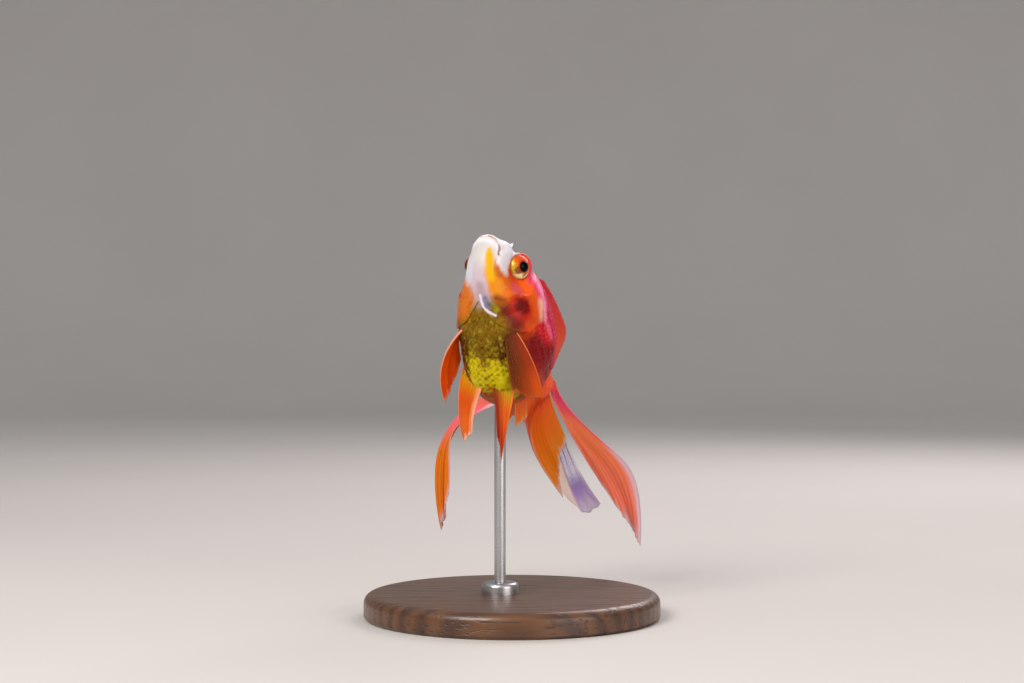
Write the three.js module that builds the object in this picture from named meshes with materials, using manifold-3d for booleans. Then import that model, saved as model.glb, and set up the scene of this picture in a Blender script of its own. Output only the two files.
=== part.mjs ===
// A life-size display model of a young fantail goldfish. It climbs towards the viewer with its belly
// shown, held by a round base with one slim rod.
// Millimetres, +Z up. The origin is the middle of the base's underside, and the viewer looks along +Y.
import * as THREE from "three";
import Module from "manifold-3d";
import { mergeVertices } from "three/addons/utils/BufferGeometryUtils.js";

const wasm = await Module();
wasm.setup();

// ---- Driving sizes ----
const BODY_LENGTH = 52.5; // snout to the root of the tail fin
const GAP = 0.3; // kept between pieces that meet
const CLIMB = 54; // degrees that the snout points up
const ROLL = 32; // degrees that the left flank is turned to the viewer
const LEAN = 17; // degrees that the tail swings to the viewer's right
const BODY_MIDDLE = 0.471; // share of the body length that the pose turns about
const BODY_PLACE = new THREE.Vector3(-1, 0, 71.2); // of that middle, over the base

const rad = THREE.MathUtils.degToRad;
const mix = THREE.MathUtils.lerp;
const gapShare = GAP / BODY_LENGTH;

// ---- Shared ways of making shapes ----

// A smooth curve through rows of [place, value], with no overshoot between them.
function curveThrough(rows) {
  const n = rows.length;
  const slopes = [];
  for (let i = 0; i < n - 1; i++) {
    slopes.push((rows[i + 1][1] - rows[i][1]) / (rows[i + 1][0] - rows[i][0]));
  }
  const tangents = rows.map((row, i) => {
    if (i === 0) return slopes[0];
    if (i === n - 1) return slopes[n - 2];
    if (slopes[i - 1] * slopes[i] <= 0) return 0;
    return (2 * slopes[i - 1] * slopes[i]) / (slopes[i - 1] + slopes[i]);
  });
  return (x) => {
    const at = THREE.MathUtils.clamp(x, rows[0][0], rows[n - 1][0]);
    let i = 0;
    while (i < n - 2 && at > rows[i + 1][0]) i++;
    const width = rows[i + 1][0] - rows[i][0];
    const t = (at - rows[i][0]) / width;
    const a = rows[i][1] * (1 + 2 * t) * (1 - t) ** 2 + tangents[i] * width * t * (1 - t) ** 2;
    const b = rows[i + 1][1] * t * t * (3 - 2 * t) - tangents[i + 1] * width * t * t * (1 - t);
    return a + b;
  };
}

function geometryOf(points, faces) {
  const geometry = new THREE.BufferGeometry();
  const numbers = points.flatMap((p) => p.toArray());
  geometry.setAttribute("position", new THREE.Float32BufferAttribute(numbers, 3));
  geometry.setIndex(faces.flat());
  return geometry;
}

function solidOf(geometry) {
  const bare = geometry.clone();
  bare.deleteAttribute("normal");
  bare.deleteAttribute("uv");
  const merged = mergeVertices(bare, 1e-4);
  return new wasm.Manifold(
    new wasm.Mesh({
      numProp: 3,
      vertProperties: new Float32Array(merged.attributes.position.array),
      triVerts: new Uint32Array(merged.index.array),
    }),
  );
}

// The main piece of a cut, without any slivers cut off with it.
function largest(solid) {
  return solid.decompose().reduce((a, b) => (a.volume() > b.volume() ? a : b));
}

function meshOf(name, solid, material) {
  const cut = solid.getMesh();
  const geometry = new THREE.BufferGeometry();
  geometry.setAttribute("position", new THREE.BufferAttribute(new Float32Array(cut.vertProperties), 3));
  geometry.setIndex(new THREE.BufferAttribute(new Uint32Array(cut.triVerts), 1));
  geometry.computeVertexNormals();
  const mesh = new THREE.Mesh(geometry, material);
  mesh.name = name;
  return mesh;
}

// A closed skin over rings of points, each ring the same length, with a flat fan at both ends.
function loft(rings) {
  const around = rings[0].length;
  const points = rings.flat();
  const faces = [];
  for (let r = 0; r + 1 < rings.length; r++) {
    for (let i = 0; i < around; i++) {
      const j = (i + 1) % around;
      const [a, b] = [r * around + i, r * around + j];
      faces.push([a, b, a + around], [b, b + around, a + around]);
    }
  }
  const ends = [rings[0], rings.at(-1)].map((ring) => {
    const middle = new THREE.Vector3();
    ring.forEach((p) => middle.addScaledVector(p, 1 / around));
    return points.push(middle) - 1;
  });
  const last = (rings.length - 1) * around;
  for (let i = 0; i < around; i++) {
    const j = (i + 1) % around;
    faces.push([ends[0], j, i], [ends[1], last + i, last + j]);
  }
  return geometryOf(points, faces);
}

// A closed sheet about a grid of points, with a thickness that changes along each row.
function sheet(grid, thicknessAt) {
  const rows = grid.length;
  const columns = grid[0].length;
  const side = new THREE.Vector3();
  const along = new THREE.Vector3();
  const normalAt = (r, c) => {
    along.subVectors(grid[r][Math.min(c + 1, columns - 1)], grid[r][Math.max(c - 1, 0)]);
    side.subVectors(grid[Math.min(r + 1, rows - 1)][c], grid[Math.max(r - 1, 0)][c]);
    return new THREE.Vector3().crossVectors(along, side).normalize();
  };
  const halfAt = (c) => thicknessAt(c / (columns - 1)) / 2;
  const lifted = (sign) => (row, r) =>
    row.map((p, c) => p.clone().addScaledVector(normalAt(r, c), sign * halfAt(c)));
  const skins = [1, -1].map((sign) => grid.map(lifted(sign)));
  const points = skins.flat(2);
  const half = rows * columns;
  const at = (r, c) => r * columns + c;
  const faces = [];
  for (let r = 0; r + 1 < rows; r++) {
    for (let c = 0; c + 1 < columns; c++) {
      const [a, b, d, e] = [at(r, c), at(r, c + 1), at(r + 1, c), at(r + 1, c + 1)];
      faces.push([a, b, e], [a, e, d], [half + a, half + e, half + b], [half + a, half + d, half + e]);
    }
  }
  const rim = [];
  for (let c = 0; c < columns - 1; c++) rim.push(at(0, c));
  for (let r = 0; r < rows - 1; r++) rim.push(at(r, columns - 1));
  for (let c = columns - 1; c > 0; c--) rim.push(at(rows - 1, c));
  for (let r = rows - 1; r > 0; r--) rim.push(at(r, 0));
  rim.forEach((a, i) => {
    const b = rim[(i + 1) % rim.length];
    faces.push([a, half + a, b], [b, half + a, half + b]);
  });
  return geometryOf(points, faces);
}

// ---- The body's surface, in the fish's own frame: +X to its left, +Y to its tail, +Z to its back ----

// Each row is a place along the body, then the height or half width there, as shares of the body length.
const BACK = curveThrough([
  [0, 0.052],
  [0.01, 0.068],
  [0.042, 0.092],
  [0.105, 0.122],
  [0.21, 0.17],
  [0.335, 0.222],
  [0.49, 0.262],
  [0.64, 0.25],
  [0.8, 0.218],
  [0.9, 0.212],
  [1, 0.232],
]);
const BELLY = curveThrough([
  [0, 0.02],
  [0.01, -0.012],
  [0.042, -0.07],
  [0.125, -0.141],
  [0.26, -0.22],
  [0.42, -0.288],
  [0.58, -0.326],
  [0.7, -0.295],
  [0.82, -0.135],
  [0.91, 0],
  [1, 0.065],
]);
const HALF_WIDTH = curveThrough([
  [0, 0.02],
  [0.01, 0.043],
  [0.042, 0.074],
  [0.125, 0.122],
  [0.26, 0.173],
  [0.44, 0.197],
  [0.59, 0.199],
  [0.72, 0.165],
  [0.87, 0.076],
  [1, 0.037],
]);
// How much narrower each section is at the belly than at its middle.
const THROAT = curveThrough([
  [0, 0.05],
  [0.05, 0.26],
  [0.14, 0.26],
  [0.26, 0.14],
  [0.4, 0],
  [1, 0],
]);
const SQUARENESS = 0.92; // 1 gives round sections, less gives fuller ones

// A point on the body: share along it, angle from the back round the left side, and lift off the surface.
function bodyPoint(share, angle, lift = 0) {
  const back = BACK(share);
  const belly = BELLY(share);
  const middle = (back + belly) / 2;
  const full = (value) => Math.sign(value) * Math.abs(value) ** SQUARENESS;
  const narrowed = 1 - THROAT(share) * ((1 - Math.cos(angle)) / 2) ** 1.5;
  const x = HALF_WIDTH(share) * full(Math.sin(angle)) * narrowed * BODY_LENGTH;
  const z = ((back - belly) / 2) * full(Math.cos(angle)) * BODY_LENGTH;
  const out = 1 + lift / Math.hypot(x, z);
  return new THREE.Vector3(x * out, share * BODY_LENGTH, middle * BODY_LENGTH + z * out);
}

const AROUND = 28;
// A length of the body between two shares, which may change with the angle. A crowding above 1 draws its
// sections towards the start.
function bodyLength(startAt, endAt, rings, lift = 0, crowding = 1) {
  const sections = [];
  for (let r = 0; r <= rings; r++) {
    const ring = [];
    for (let i = 0; i < AROUND; i++) {
      const angle = (i / AROUND) * 2 * Math.PI;
      const along = (r / rings) ** crowding;
      ring.push(bodyPoint(mix(startAt(angle), endAt(angle), along), angle, lift));
    }
    sections.push(ring);
  }
  return solidOf(loft(sections));
}

// ---- Materials ----

const finish = (color, roughness, metalness = 0) =>
  new THREE.MeshStandardMaterial({ color, roughness, metalness });
const scaled = finish(0xd8641c, 0.35);
const pale = finish(0xf2e6e2, 0.4);
const webbing = finish(0xe65a10, 0.45);
const eyeball = finish(0xc86a1a, 0.12);
const walnut = finish(0x3a2417, 0.4);
const steel = finish(0xb4b6b8, 0.3, 1);

// ---- Dividing the body ----

// Places along the body, by the angle in degrees from the back: where the gill cover starts and ends.
const GILL_START = curveThrough([
  [0, 0.27],
  [60, 0.262],
  [105, 0.246],
  [150, 0.21],
  [180, 0.19],
]);
const GILL_END = curveThrough([
  [0, 0.3],
  [55, 0.33],
  [105, 0.4],
  [150, 0.304],
  [180, 0.24],
]);
const TAIL_JOIN = 0.8;
const fromBack = (angle) => THREE.MathUtils.radToDeg(Math.acos(Math.cos(angle)));
const gillEnd = (angle) => GILL_END(fromBack(angle));
const wholeBody = bodyLength(() => 0, () => 1, 28, GAP);
let head = bodyLength(() => 0, gillEnd, 10, 0, 1.7);
const trunk = bodyLength((angle) => gillEnd(angle) + gapShare, () => TAIL_JOIN - gapShare, 12);
const tailBase = bodyLength(() => TAIL_JOIN, () => 1, 5);

// ---- Head: eyes, nostril flaps, gill covers and lower jaw ----

const EYE_RADIUS = 3.2;
const EYE_PLACE = new THREE.Vector3(5.15, 9.4, 2.95); // the left one
const EYE_FACING = new THREE.Vector3(0.86, -0.32, -0.28).normalize();
const RIM_THICKNESS = 0.65;
const RIM_HEIGHT = 0.75; // of the rim's middle over the eye's centre
const DISH_HEIGHT = 1.25; // where the hollow round the eye starts
const DISH_FLARE = 1.9; // how fast it widens
const FLAP_PLACE = new THREE.Vector3(2.9, 4.8, 5.8);

const ball = (radius, centre) => new THREE.SphereGeometry(radius, 16, 11).translate(...centre.toArray());

function mirrored(geometry) {
  const other = geometry.clone().scale(-1, 1, 1);
  const order = other.index.array;
  for (let i = 0; i < order.length; i += 3) {
    [order[i], order[i + 1]] = [order[i + 1], order[i]];
  }
  return other;
}

// The solid of a left-hand geometry, or of its mirror image on the right.
function onSide(side, geometry) {
  return solidOf(side > 0 ? geometry : mirrored(geometry));
}

// Turns a shape about +Z to face as the eye does, and moves it out from the eye's centre.
function atEye(geometry, out) {
  const forward = new THREE.Vector3(0, 0, 1);
  geometry.applyQuaternion(new THREE.Quaternion().setFromUnitVectors(forward, EYE_FACING));
  return geometry.translate(...EYE_PLACE.clone().addScaledVector(EYE_FACING, out).toArray());
}

function eyeRim() {
  return atEye(new THREE.TorusGeometry(EYE_RADIUS - 0.2, RIM_THICKNESS, 6, 16), RIM_HEIGHT);
}

// A shallow dish cut from the head, so that the eye stands clear of it in front.
function eyeDish() {
  const depth = 2;
  const dish = new THREE.CylinderGeometry(EYE_RADIUS + depth * DISH_FLARE, EYE_RADIUS, depth, 16);
  return atEye(dish.rotateX(Math.PI / 2), DISH_HEIGHT + depth / 2);
}

// A little upright leaf of skin behind each nostril.
function nostrilFlap() {
  const leaf = new THREE.SphereGeometry(1, 8, 6);
  leaf.scale(0.9, 0.45, 1.7);
  leaf.rotateX(rad(-20));
  return leaf.translate(...FLAP_PLACE.toArray());
}

// A plate over the gills that follows the body's surface, with rounded corners.
const GILL_THICKNESS = 1.4;
const GILL_PROUD = 0.35; // how far it stands out of the head
const GILL_TOP = 52; // degrees from the back
const GILL_BOTTOM = 150;
function gillPlate(spare) {
  const [across, along] = [10, 4];
  const grid = [];
  for (let r = 0; r <= across; r++) {
    const t = r / across;
    const degrees = mix(GILL_TOP - spare * 4, GILL_BOTTOM + spare * 4, t);
    const bow = Math.sqrt(Math.max(0.02, 1 - (2 * t - 1) ** 4));
    const start = GILL_START(degrees) - spare * gapShare;
    const end = mix(start, GILL_END(degrees) + (spare - 1) * gapShare, bow);
    const row = [];
    for (let c = 0; c <= along; c++) {
      row.push(bodyPoint(mix(start, end, c / along), rad(degrees), GILL_PROUD - GILL_THICKNESS / 2));
    }
    grid.push(row);
  }
  return sheet(grid, () => GILL_THICKNESS + 2 * spare * GAP);
}

// The lower jaw seen from the side, as [along the body, height], and half its width seen from below.
const JAW_SIDE = [
  [-2, 0.5],
  [0, 0.3],
  [2.6, -1],
  [4.6, -3.6],
  [9, -6.6],
  [9, -12],
  [-2, -12],
];
const JAW_PLAN = [
  [-2, 6],
  [2.4, 6],
  [4, 3.9],
  [9, 2.4],
];

function prism(outline) {
  const shape = new THREE.Shape(outline.map(([a, b]) => new THREE.Vector2(a, b)));
  return new THREE.ExtrudeGeometry(shape, { depth: 30, bevelEnabled: false }).translate(0, 0, -15);
}

// What is cut out of the head for the jaw, with some spare room round it.
function jawBlock(spare) {
  const back = (y) => y + (y > 0 ? spare : 0);
  const half = JAW_PLAN.map(([y, x]) => [x + spare, back(y)]);
  const fromBelow = prism([...half, ...half.map(([x, y]) => [-x, y]).reverse()]);
  const fromSide = prism(JAW_SIDE.map(([y, z]) => [back(y), z + spare]));
  fromSide.rotateX(Math.PI / 2).rotateZ(Math.PI / 2);
  return solidOf(fromSide).intersect(solidOf(fromBelow));
}

const pieces = [];
for (const [side, name] of [[1, "left"], [-1, "right"]]) {
  head = head.subtract(onSide(side, eyeDish()));
  head = head.add(onSide(side, eyeRim())).add(onSide(side, nostrilFlap()));
  head = head.subtract(onSide(side, ball(EYE_RADIUS + GAP, EYE_PLACE)));
  head = head.subtract(onSide(side, gillPlate(1)));
  pieces.push(meshOf(`eye_${name}`, onSide(side, ball(EYE_RADIUS, EYE_PLACE)), eyeball));
  pieces.push(meshOf(`gill_cover_${name}`, onSide(side, gillPlate(0)), scaled));
}
pieces.push(meshOf("lower_jaw", head.intersect(jawBlock(0)), pale));
head = largest(head.subtract(jawBlock(GAP)));
pieces.push(meshOf("head", head, scaled));
pieces.push(meshOf("trunk", trunk, scaled));
pieces.push(meshOf("tail_base", tailBase, scaled));

// ---- Fins ----

// A ray starts at its root and swings through a few directions, evenly spaced along it.
// Spread is degrees to the fish's left of straight back, and fall is degrees below it.
function finRay(root, length, spread, fall, steps) {
  const through = (keys) => curveThrough(keys.map((key, k) => [k / (keys.length - 1), key]));
  const [spreadAt, fallAt] = [through(spread), through(fall)];
  const points = [root.clone()];
  for (let i = 0; i < steps; i++) {
    const v = (i + 0.5) / steps;
    const [s, f] = [rad(spreadAt(v)), rad(fallAt(v))];
    const step = new THREE.Vector3(Math.sin(s) * Math.cos(f), Math.cos(s) * Math.cos(f), -Math.sin(f));
    points.push(points.at(-1).clone().addScaledVector(step, length / steps));
  }
  return points;
}

// One of the rays that a fin is drawn between, with its place from 0 at the first ray to 1 at the last.
const guide = (at, root, length, spread, fall) => ({ at, root, length, spread, fall });

// A fin is a sheet of rays between a few guides.
function finGrid(guides, rays, steps) {
  const across = (pick) => curveThrough(guides.map((guide) => [guide.at, pick(guide)]));
  const root = [0, 1, 2].map((axis) => across((guide) => guide.root[axis]));
  const length = across((guide) => guide.length);
  const spread = guides[0].spread.map((_, k) => across((guide) => guide.spread[k]));
  const fall = guides[0].fall.map((_, k) => across((guide) => guide.fall[k]));
  const grid = [];
  const first = guides[0].at;
  const last = guides.at(-1).at;
  for (let r = 0; r < rays; r++) {
    const s = mix(first, last, r / (rays - 1));
    const at = (curves) => curves.map((curve) => curve(s));
    grid.push(finRay(new THREE.Vector3(...at(root)), length(s), at(spread), at(fall), steps));
  }
  return grid;
}

const ROOT_THICKNESS = 1.2;
const EDGE_THICKNESS = 0.5;
const finThickness = (along) => mix(ROOT_THICKNESS, EDGE_THICKNESS, Math.min(1, along * 1.4));

const FINS = {
  dorsal_fin: {
    rays: 11,
    steps: 6,
    guides: [
      guide(0, [0, 19.5, 11], 12.5, [0, 8, 14], [-62, -52, -44]),
      guide(0.5, [0, 30.5, 12.5], 17, [0, 10, 18], [-52, -36, -24]),
      guide(1, [0, 42, 10], 9, [0, 4, 8], [-34, -22, -15]),
    ],
  },
  pectoral_fin_left: {
    rays: 8,
    steps: 7,
    guides: [
      guide(0, [6, 17, -9], 21.4, [34, 14, 0], [8, 9, 6]),
      guide(0.5, [5.6, 17.3, -9.8], 19, [36, 10, -4], [30, 14, 6]),
      guide(1, [5, 17.6, -10.6], 15, [22, 4, -2], [50, 24, 12]),
    ],
  },
  pectoral_fin_right: {
    rays: 8,
    steps: 7,
    guides: [
      guide(0, [-5.2, 17.6, -10.6], 22.4, [-58, -22, 8], [34, 20, 4]),
      guide(0.5, [-5.6, 17.3, -9.8], 18.5, [-44, -20, 0], [28, 16, 3]),
      guide(1, [-6, 17, -9], 11, [-34, -14, -2], [18, 10, 0]),
    ],
  },
  pelvic_fin_left: {
    rays: 7,
    steps: 6,
    guides: [
      guide(0, [5.8, 31, -13.6], 20.4, [-8, -14, -9], [38, 36, 33]),
      guide(1, [1, 28.6, -15.8], 14, [12, 5, -2], [30, 30, 31]),
    ],
  },
  pelvic_fin_right: {
    rays: 7,
    steps: 6,
    guides: [
      guide(0, [-7.8, 28, -11.4], 20.5, [-22, -4, 20], [30, 30, 28]),
      guide(1, [-0.8, 29.6, -15.8], 13.5, [-34, -20, -2], [32, 31, 28]),
    ],
  },
  anal_fin_left: {
    rays: 6,
    steps: 4,
    guides: [
      guide(0, [1.6, 39.5, -8.5], 8.5, [10, 6, 4], [56, 42, 32]),
      guide(1, [1.4, 43.5, -3.6], 6, [8, 6, 4], [40, 34, 30]),
    ],
  },
  anal_fin_right: {
    rays: 6,
    steps: 4,
    guides: [
      guide(0, [-1.6, 39.5, -8.5], 8.5, [-10, -6, -4], [56, 42, 32]),
      guide(1, [-1.4, 43.5, -3.6], 6, [-8, -6, -4], [40, 34, 30]),
    ],
  },
  tail_fin_left_upper: {
    rays: 9,
    steps: 11,
    guides: [
      guide(0, [1.1, 51.5, 11.6], 59, [-4, 22, 32, 8, -1], [-1, -8, -7, 24, 42]),
      guide(0.5, [1.1, 51.9, 10.1], 48, [-6, 10, 20, 17, 14], [-3, -5, -3, 6, 20]),
      guide(1, [1.1, 52, 8.6], 18, [-5, 0, 5, 7, 9], [-4, -5, -6, -5, -4]),
    ],
  },
  tail_fin_left_lower: {
    rays: 8,
    steps: 9,
    guides: [
      guide(0, [1.1, 52, 7.6], 17, [-7, -1, 3, 7, 9], [-5, -4, -2, 0, 3]),
      guide(0.5, [0.9, 51.8, 5.4], 22, [-19, -9, 2, 10, 14], [-2, 2, 7, 12, 16]),
      guide(1, [0.6, 51.3, 3.3], 33, [-37, -20, 7, 26, 33], [2, 10, 13, 10, 14]),
    ],
  },
  tail_fin_right_upper: {
    rays: 9,
    steps: 11,
    guides: [
      guide(0, [-1.1, 51.5, 11.8], 60, [-68, -76, -46, 0, 18], [3, 14, 39, 37, 32]),
      guide(0.5, [-1.1, 51.9, 10.6], 54, [-66, -80, -45, -3, 16], [0, 25, 29, 36, 48]),
      guide(1, [-1.1, 52, 9.4], 45, [-62, -78, -69, -3, 24], [-8, 32, 23, 34, 64]),
    ],
  },
  tail_fin_right_lower: {
    rays: 9,
    steps: 9,
    guides: [
      guide(0, [-1.1, 52, 8.4], 18, [-58, -59, -58, -55, -53], [-13, -9, -4, 1, 4]),
      guide(0.4, [-1.1, 51.9, 7.5], 15, [-35, -34, -34, -32, -29], [-9, -7, -3, 1, 2]),
      guide(0.68, [-1.1, 51.8, 6.7], 41, [-13, -11, -8, -1, 8], [-19, -14, -6, 5, 14]),
      guide(0.84, [-1.1, 51.75, 6.3], 48.5, [-9, -6, -2, 7, 27], [-22, -16, -4, 7, 14]),
      guide(1, [-1.1, 51.7, 6], 46, [-5, 0, 5, 15, 28], [-24, -17, -5, 6, 6]),
    ],
  },
};

for (const [name, fin] of Object.entries(FINS)) {
  const blade = solidOf(sheet(finGrid(fin.guides, fin.rays, fin.steps), finThickness));
  pieces.push(meshOf(name, largest(blade.subtract(wholeBody)), webbing));
}

// ---- Posing the fish ----

const turn = new THREE.Group(); // rolls the fish about its own length
turn.rotation.y = rad(ROLL);
const climb = new THREE.Group(); // points its snout up
climb.rotation.x = rad(-CLIMB);
climb.add(turn);
const fish = new THREE.Group(); // swings its tail aside, and lifts it over the base
fish.rotation.y = rad(-LEAN);
fish.position.copy(BODY_PLACE);
fish.add(climb);
const about = new THREE.Group();
about.position.y = -BODY_MIDDLE * BODY_LENGTH;
about.add(...pieces);
turn.add(about);

// ---- Stand: a round base, a collar and a slim rod up to the belly behind the pelvic fins ----

const BASE_RADIUS = 36;
const BASE_HEIGHT = 6;
const BASE_CHAMFER = 1;
const ROD_RADIUS = 1.4;
const ROD_PLACE = new THREE.Vector2(-2.9, -1.6);
const ROD_TOP = 62; // inside the belly, where the body trims it
const COLLAR_RADIUS = 4.5;
const COLLAR_HEIGHT = 2.5;

function turned(profile, segments) {
  const lathe = new THREE.LatheGeometry(profile.map(([r, z]) => new THREE.Vector2(r, z)), segments);
  return lathe.rotateX(Math.PI / 2);
}

function standBase() {
  const [r, h, c] = [BASE_RADIUS, BASE_HEIGHT, BASE_CHAMFER];
  return solidOf(turned([[0, 0], [r - c / 2, 0], [r, c / 2], [r, h - c], [r - c, h], [0, h]], 72));
}

function standCollar() {
  const [inner, r, z] = [ROD_RADIUS + GAP, COLLAR_RADIUS, BASE_HEIGHT + GAP];
  const top = z + COLLAR_HEIGHT;
  const profile = [[inner, z], [r, z], [r, top - 0.8], [r - 0.8, top], [inner, top], [inner, z]];
  return solidOf(turned(profile, 40).translate(ROD_PLACE.x, ROD_PLACE.y, 0));
}

function standRod() {
  const length = ROD_TOP - BASE_HEIGHT - GAP;
  const rod = new THREE.CylinderGeometry(ROD_RADIUS, ROD_RADIUS, length, 20).rotateX(Math.PI / 2);
  rod.translate(ROD_PLACE.x, ROD_PLACE.y, ROD_TOP - length / 2);
  about.updateWorldMatrix(true, false);
  const belly = wholeBody.transform(about.matrixWorld.elements);
  return largest(solidOf(rod).subtract(belly));
}

const stand = new THREE.Group();
stand.add(
  meshOf("stand_base", standBase(), walnut),
  meshOf("stand_collar", standCollar(), steel),
  meshOf("stand_rod", standRod(), steel),
);

const goldfish = new THREE.Group();
goldfish.add(fish, stand);
export default goldfish;
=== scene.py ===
import math

import bpy
import numpy as np
from mathutils import Matrix, Vector


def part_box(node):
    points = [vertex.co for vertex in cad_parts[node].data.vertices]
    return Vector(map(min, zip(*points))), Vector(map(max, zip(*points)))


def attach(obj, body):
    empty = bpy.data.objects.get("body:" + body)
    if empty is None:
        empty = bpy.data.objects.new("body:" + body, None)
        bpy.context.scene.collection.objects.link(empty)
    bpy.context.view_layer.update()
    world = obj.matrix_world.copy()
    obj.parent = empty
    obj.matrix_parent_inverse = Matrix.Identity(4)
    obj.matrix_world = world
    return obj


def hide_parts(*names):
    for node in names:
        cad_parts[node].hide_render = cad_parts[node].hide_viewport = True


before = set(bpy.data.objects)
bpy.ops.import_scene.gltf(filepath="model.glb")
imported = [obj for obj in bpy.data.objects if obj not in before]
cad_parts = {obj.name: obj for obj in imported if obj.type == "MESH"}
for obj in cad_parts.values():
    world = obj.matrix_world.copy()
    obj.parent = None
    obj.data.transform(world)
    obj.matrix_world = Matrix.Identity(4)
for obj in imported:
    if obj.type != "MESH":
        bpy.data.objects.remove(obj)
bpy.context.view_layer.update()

scene = bpy.context.scene

# ---- Studio ----
# A pale round floor that curves up into a low wall, a soft key light above and to the left, a wide fill from
# the right and a rim light behind. The camera looks level along +Y, just over the base of the stand.

CAMERA_PLACE = (0, -0.45, 0.067)
FOCAL_LENGTH = 65.04
FLOOR_RADIUS = 1.3
WALL_CURVE = 0.5
WALL_HEIGHT = 1.3


def colour(code):
    """A colour from its six-figure code, as the linear numbers that shaders take."""
    parts = [int(code[i:i + 2], 16) / 255 for i in (0, 2, 4)]
    return (*[c / 12.92 if c <= 0.04045 else ((c + 0.055) / 1.055) ** 2.4 for c in parts], 1.0)


class Socket:
    """A node's output. Sums on it add Math nodes to its tree."""

    def __init__(self, nodes, socket):
        self.nodes = nodes
        self.socket = socket

    def math(self, operation, *values):
        return self.nodes.node("ShaderNodeMath", {"operation": operation}, dict(enumerate(values)))

    def __add__(self, other):
        return self.math("ADD", self, other)

    def __radd__(self, other):
        return self.math("ADD", other, self)

    def __sub__(self, other):
        return self.math("SUBTRACT", self, other)

    def __rsub__(self, other):
        return self.math("SUBTRACT", other, self)

    def __mul__(self, other):
        return self.math("MULTIPLY", self, other)

    def __rmul__(self, other):
        return self.math("MULTIPLY", other, self)

    def __abs__(self):
        return self.math("ABSOLUTE", self)


class Nodes:
    """A node tree, to which one call adds a node with its settings, values and links."""

    def __init__(self, tree):
        self.tree = tree

    def node(self, kind, settings=None, inputs=None, output=0):
        made = self.tree.nodes.new(kind)
        for name, value in (settings or {}).items():
            setattr(made, name, value)
        for key, value in (inputs or {}).items():
            for one in value if isinstance(value, list) else [value]:
                if isinstance(one, Socket):
                    self.tree.links.new(one.socket, made.inputs[key])
                else:
                    made.inputs[key].default_value = one
        return Socket(self, made.outputs[output]) if made.outputs else made

    def parts(self, vector):
        """The x, y and z of a vector."""
        return [self.node("ShaderNodeSeparateXYZ", None, {0: vector}, k) for k in range(3)]

    def together(self, x, y, z=0.0):
        """A vector from its x, y and z."""
        return self.node("ShaderNodeCombineXYZ", None, {0: x, 1: y, 2: z})


class Paint(Nodes):
    """A material, with the steps that its patterns share."""

    def __init__(self, name):
        self.material = bpy.data.materials.new(name)
        self.material.use_nodes = True
        super().__init__(self.material.node_tree)
        self.tree.nodes.clear()

    def finish(self, **inputs):
        """The surface: a Principled shader with these sockets, by name with _ for a space."""
        named = {key.replace("_", " "): value for key, value in inputs.items()}
        shader = self.node("ShaderNodeBsdfPrincipled", None, named)
        self.node("ShaderNodeOutputMaterial", None, {"Surface": shader})
        return self.material

    def place(self):
        return self.node("ShaderNodeTexCoord", output=3)

    def attribute(self, name):
        """A vector that the mesh keeps for each of its points."""
        return self.node("ShaderNodeAttribute", {"attribute_name": name}, output=1)

    def scaled(self, vector, scale):
        return self.node("ShaderNodeMapping", None, {"Vector": vector, "Scale": scale})

    def noise(self, vector, scale, detail=2.0, output=0):
        settings = {"Vector": vector, "Scale": scale, "Detail": detail}
        return self.node("ShaderNodeTexNoise", None, settings, output)

    def step(self, value, low, high):
        """0 below low and 1 above high, eased between them; low may be the greater."""
        inputs = {"Value": value, "From Min": low, "From Max": high}
        return self.node("ShaderNodeMapRange", {"interpolation_type": "SMOOTHSTEP"}, inputs)

    def mix(self, share, first, second):
        return self.node("ShaderNodeMix", {"data_type": "RGBA"}, {0: share, 6: first, 7: second}, 2)

    def vector(self, operation, *values, output=0):
        return self.node("ShaderNodeVectorMath", {"operation": operation}, dict(enumerate(values)), output)

    def bump(self, height, distance, strength=1.0):
        inputs = {"Height": height, "Distance": distance, "Strength": strength}
        return self.node("ShaderNodeBump", None, inputs)


def bare_object(name, points, edges=(), faces=()):
    """An object of points, edges and faces in metres, at the origin."""
    mesh = bpy.data.meshes.new(name)
    points = [tuple(point) for point in np.asarray(points, float)]
    mesh.from_pydata(points, edges, [tuple(map(int, face)) for face in faces])
    made = bpy.data.objects.new(name, mesh)
    scene.collection.objects.link(made)
    return made


def mesh_object(name, points, faces, material, sharp=None):
    """A smooth piece, whose edges stay sharp where they turn by more than so many degrees."""
    made = bare_object(name, points, faces=faces)
    made.data.polygons.foreach_set("use_smooth", [True] * len(faces))
    if sharp is not None:
        made.data.set_sharp_from_angle(angle=math.radians(sharp))
    made.data.materials.append(material)
    return made


def turned(profile, segments, centre=(0.0, 0.0), closed=False):
    """Points and faces of a shape turned about an upright line. An open profile starts and ends on that line,
    or has a free edge."""
    on_line = [r == 0 for r, _ in profile]
    points, faces = [], []
    for (r, z), single in zip(profile, on_line):
        for i in range(1 if single else segments):
            turn = 2 * math.pi * i / segments
            points.append((centre[0] + r * math.cos(turn), centre[1] + r * math.sin(turn), z))
    starts = np.cumsum([0] + [1 if single else segments for single in on_line])
    pairs = [(k, k + 1) for k in range(len(profile) - 1)] + ([(len(profile) - 1, 0)] if closed else [])
    for low, high in pairs:
        a, b = starts[low], starts[high]
        for i in range(segments):
            j = (i + 1) % segments
            if on_line[low]:
                faces.append((a, b + j, b + i))
            elif on_line[high]:
                faces.append((a + i, a + j, b))
            else:
                faces.append((a + i, a + j, b + j, b + i))
    return points, faces


def facing_out(points, faces):
    """The faces, turned round where the closed shape is inside out."""
    points = np.asarray(points, float)
    volume = 0.0
    for face in faces:
        a = points[face[0]]
        for b, c in zip(face[1:-1], face[2:]):
            volume += np.dot(a, np.cross(points[b], points[c]))
    return faces if volume > 0 else [tuple(reversed(face)) for face in faces]


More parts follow.
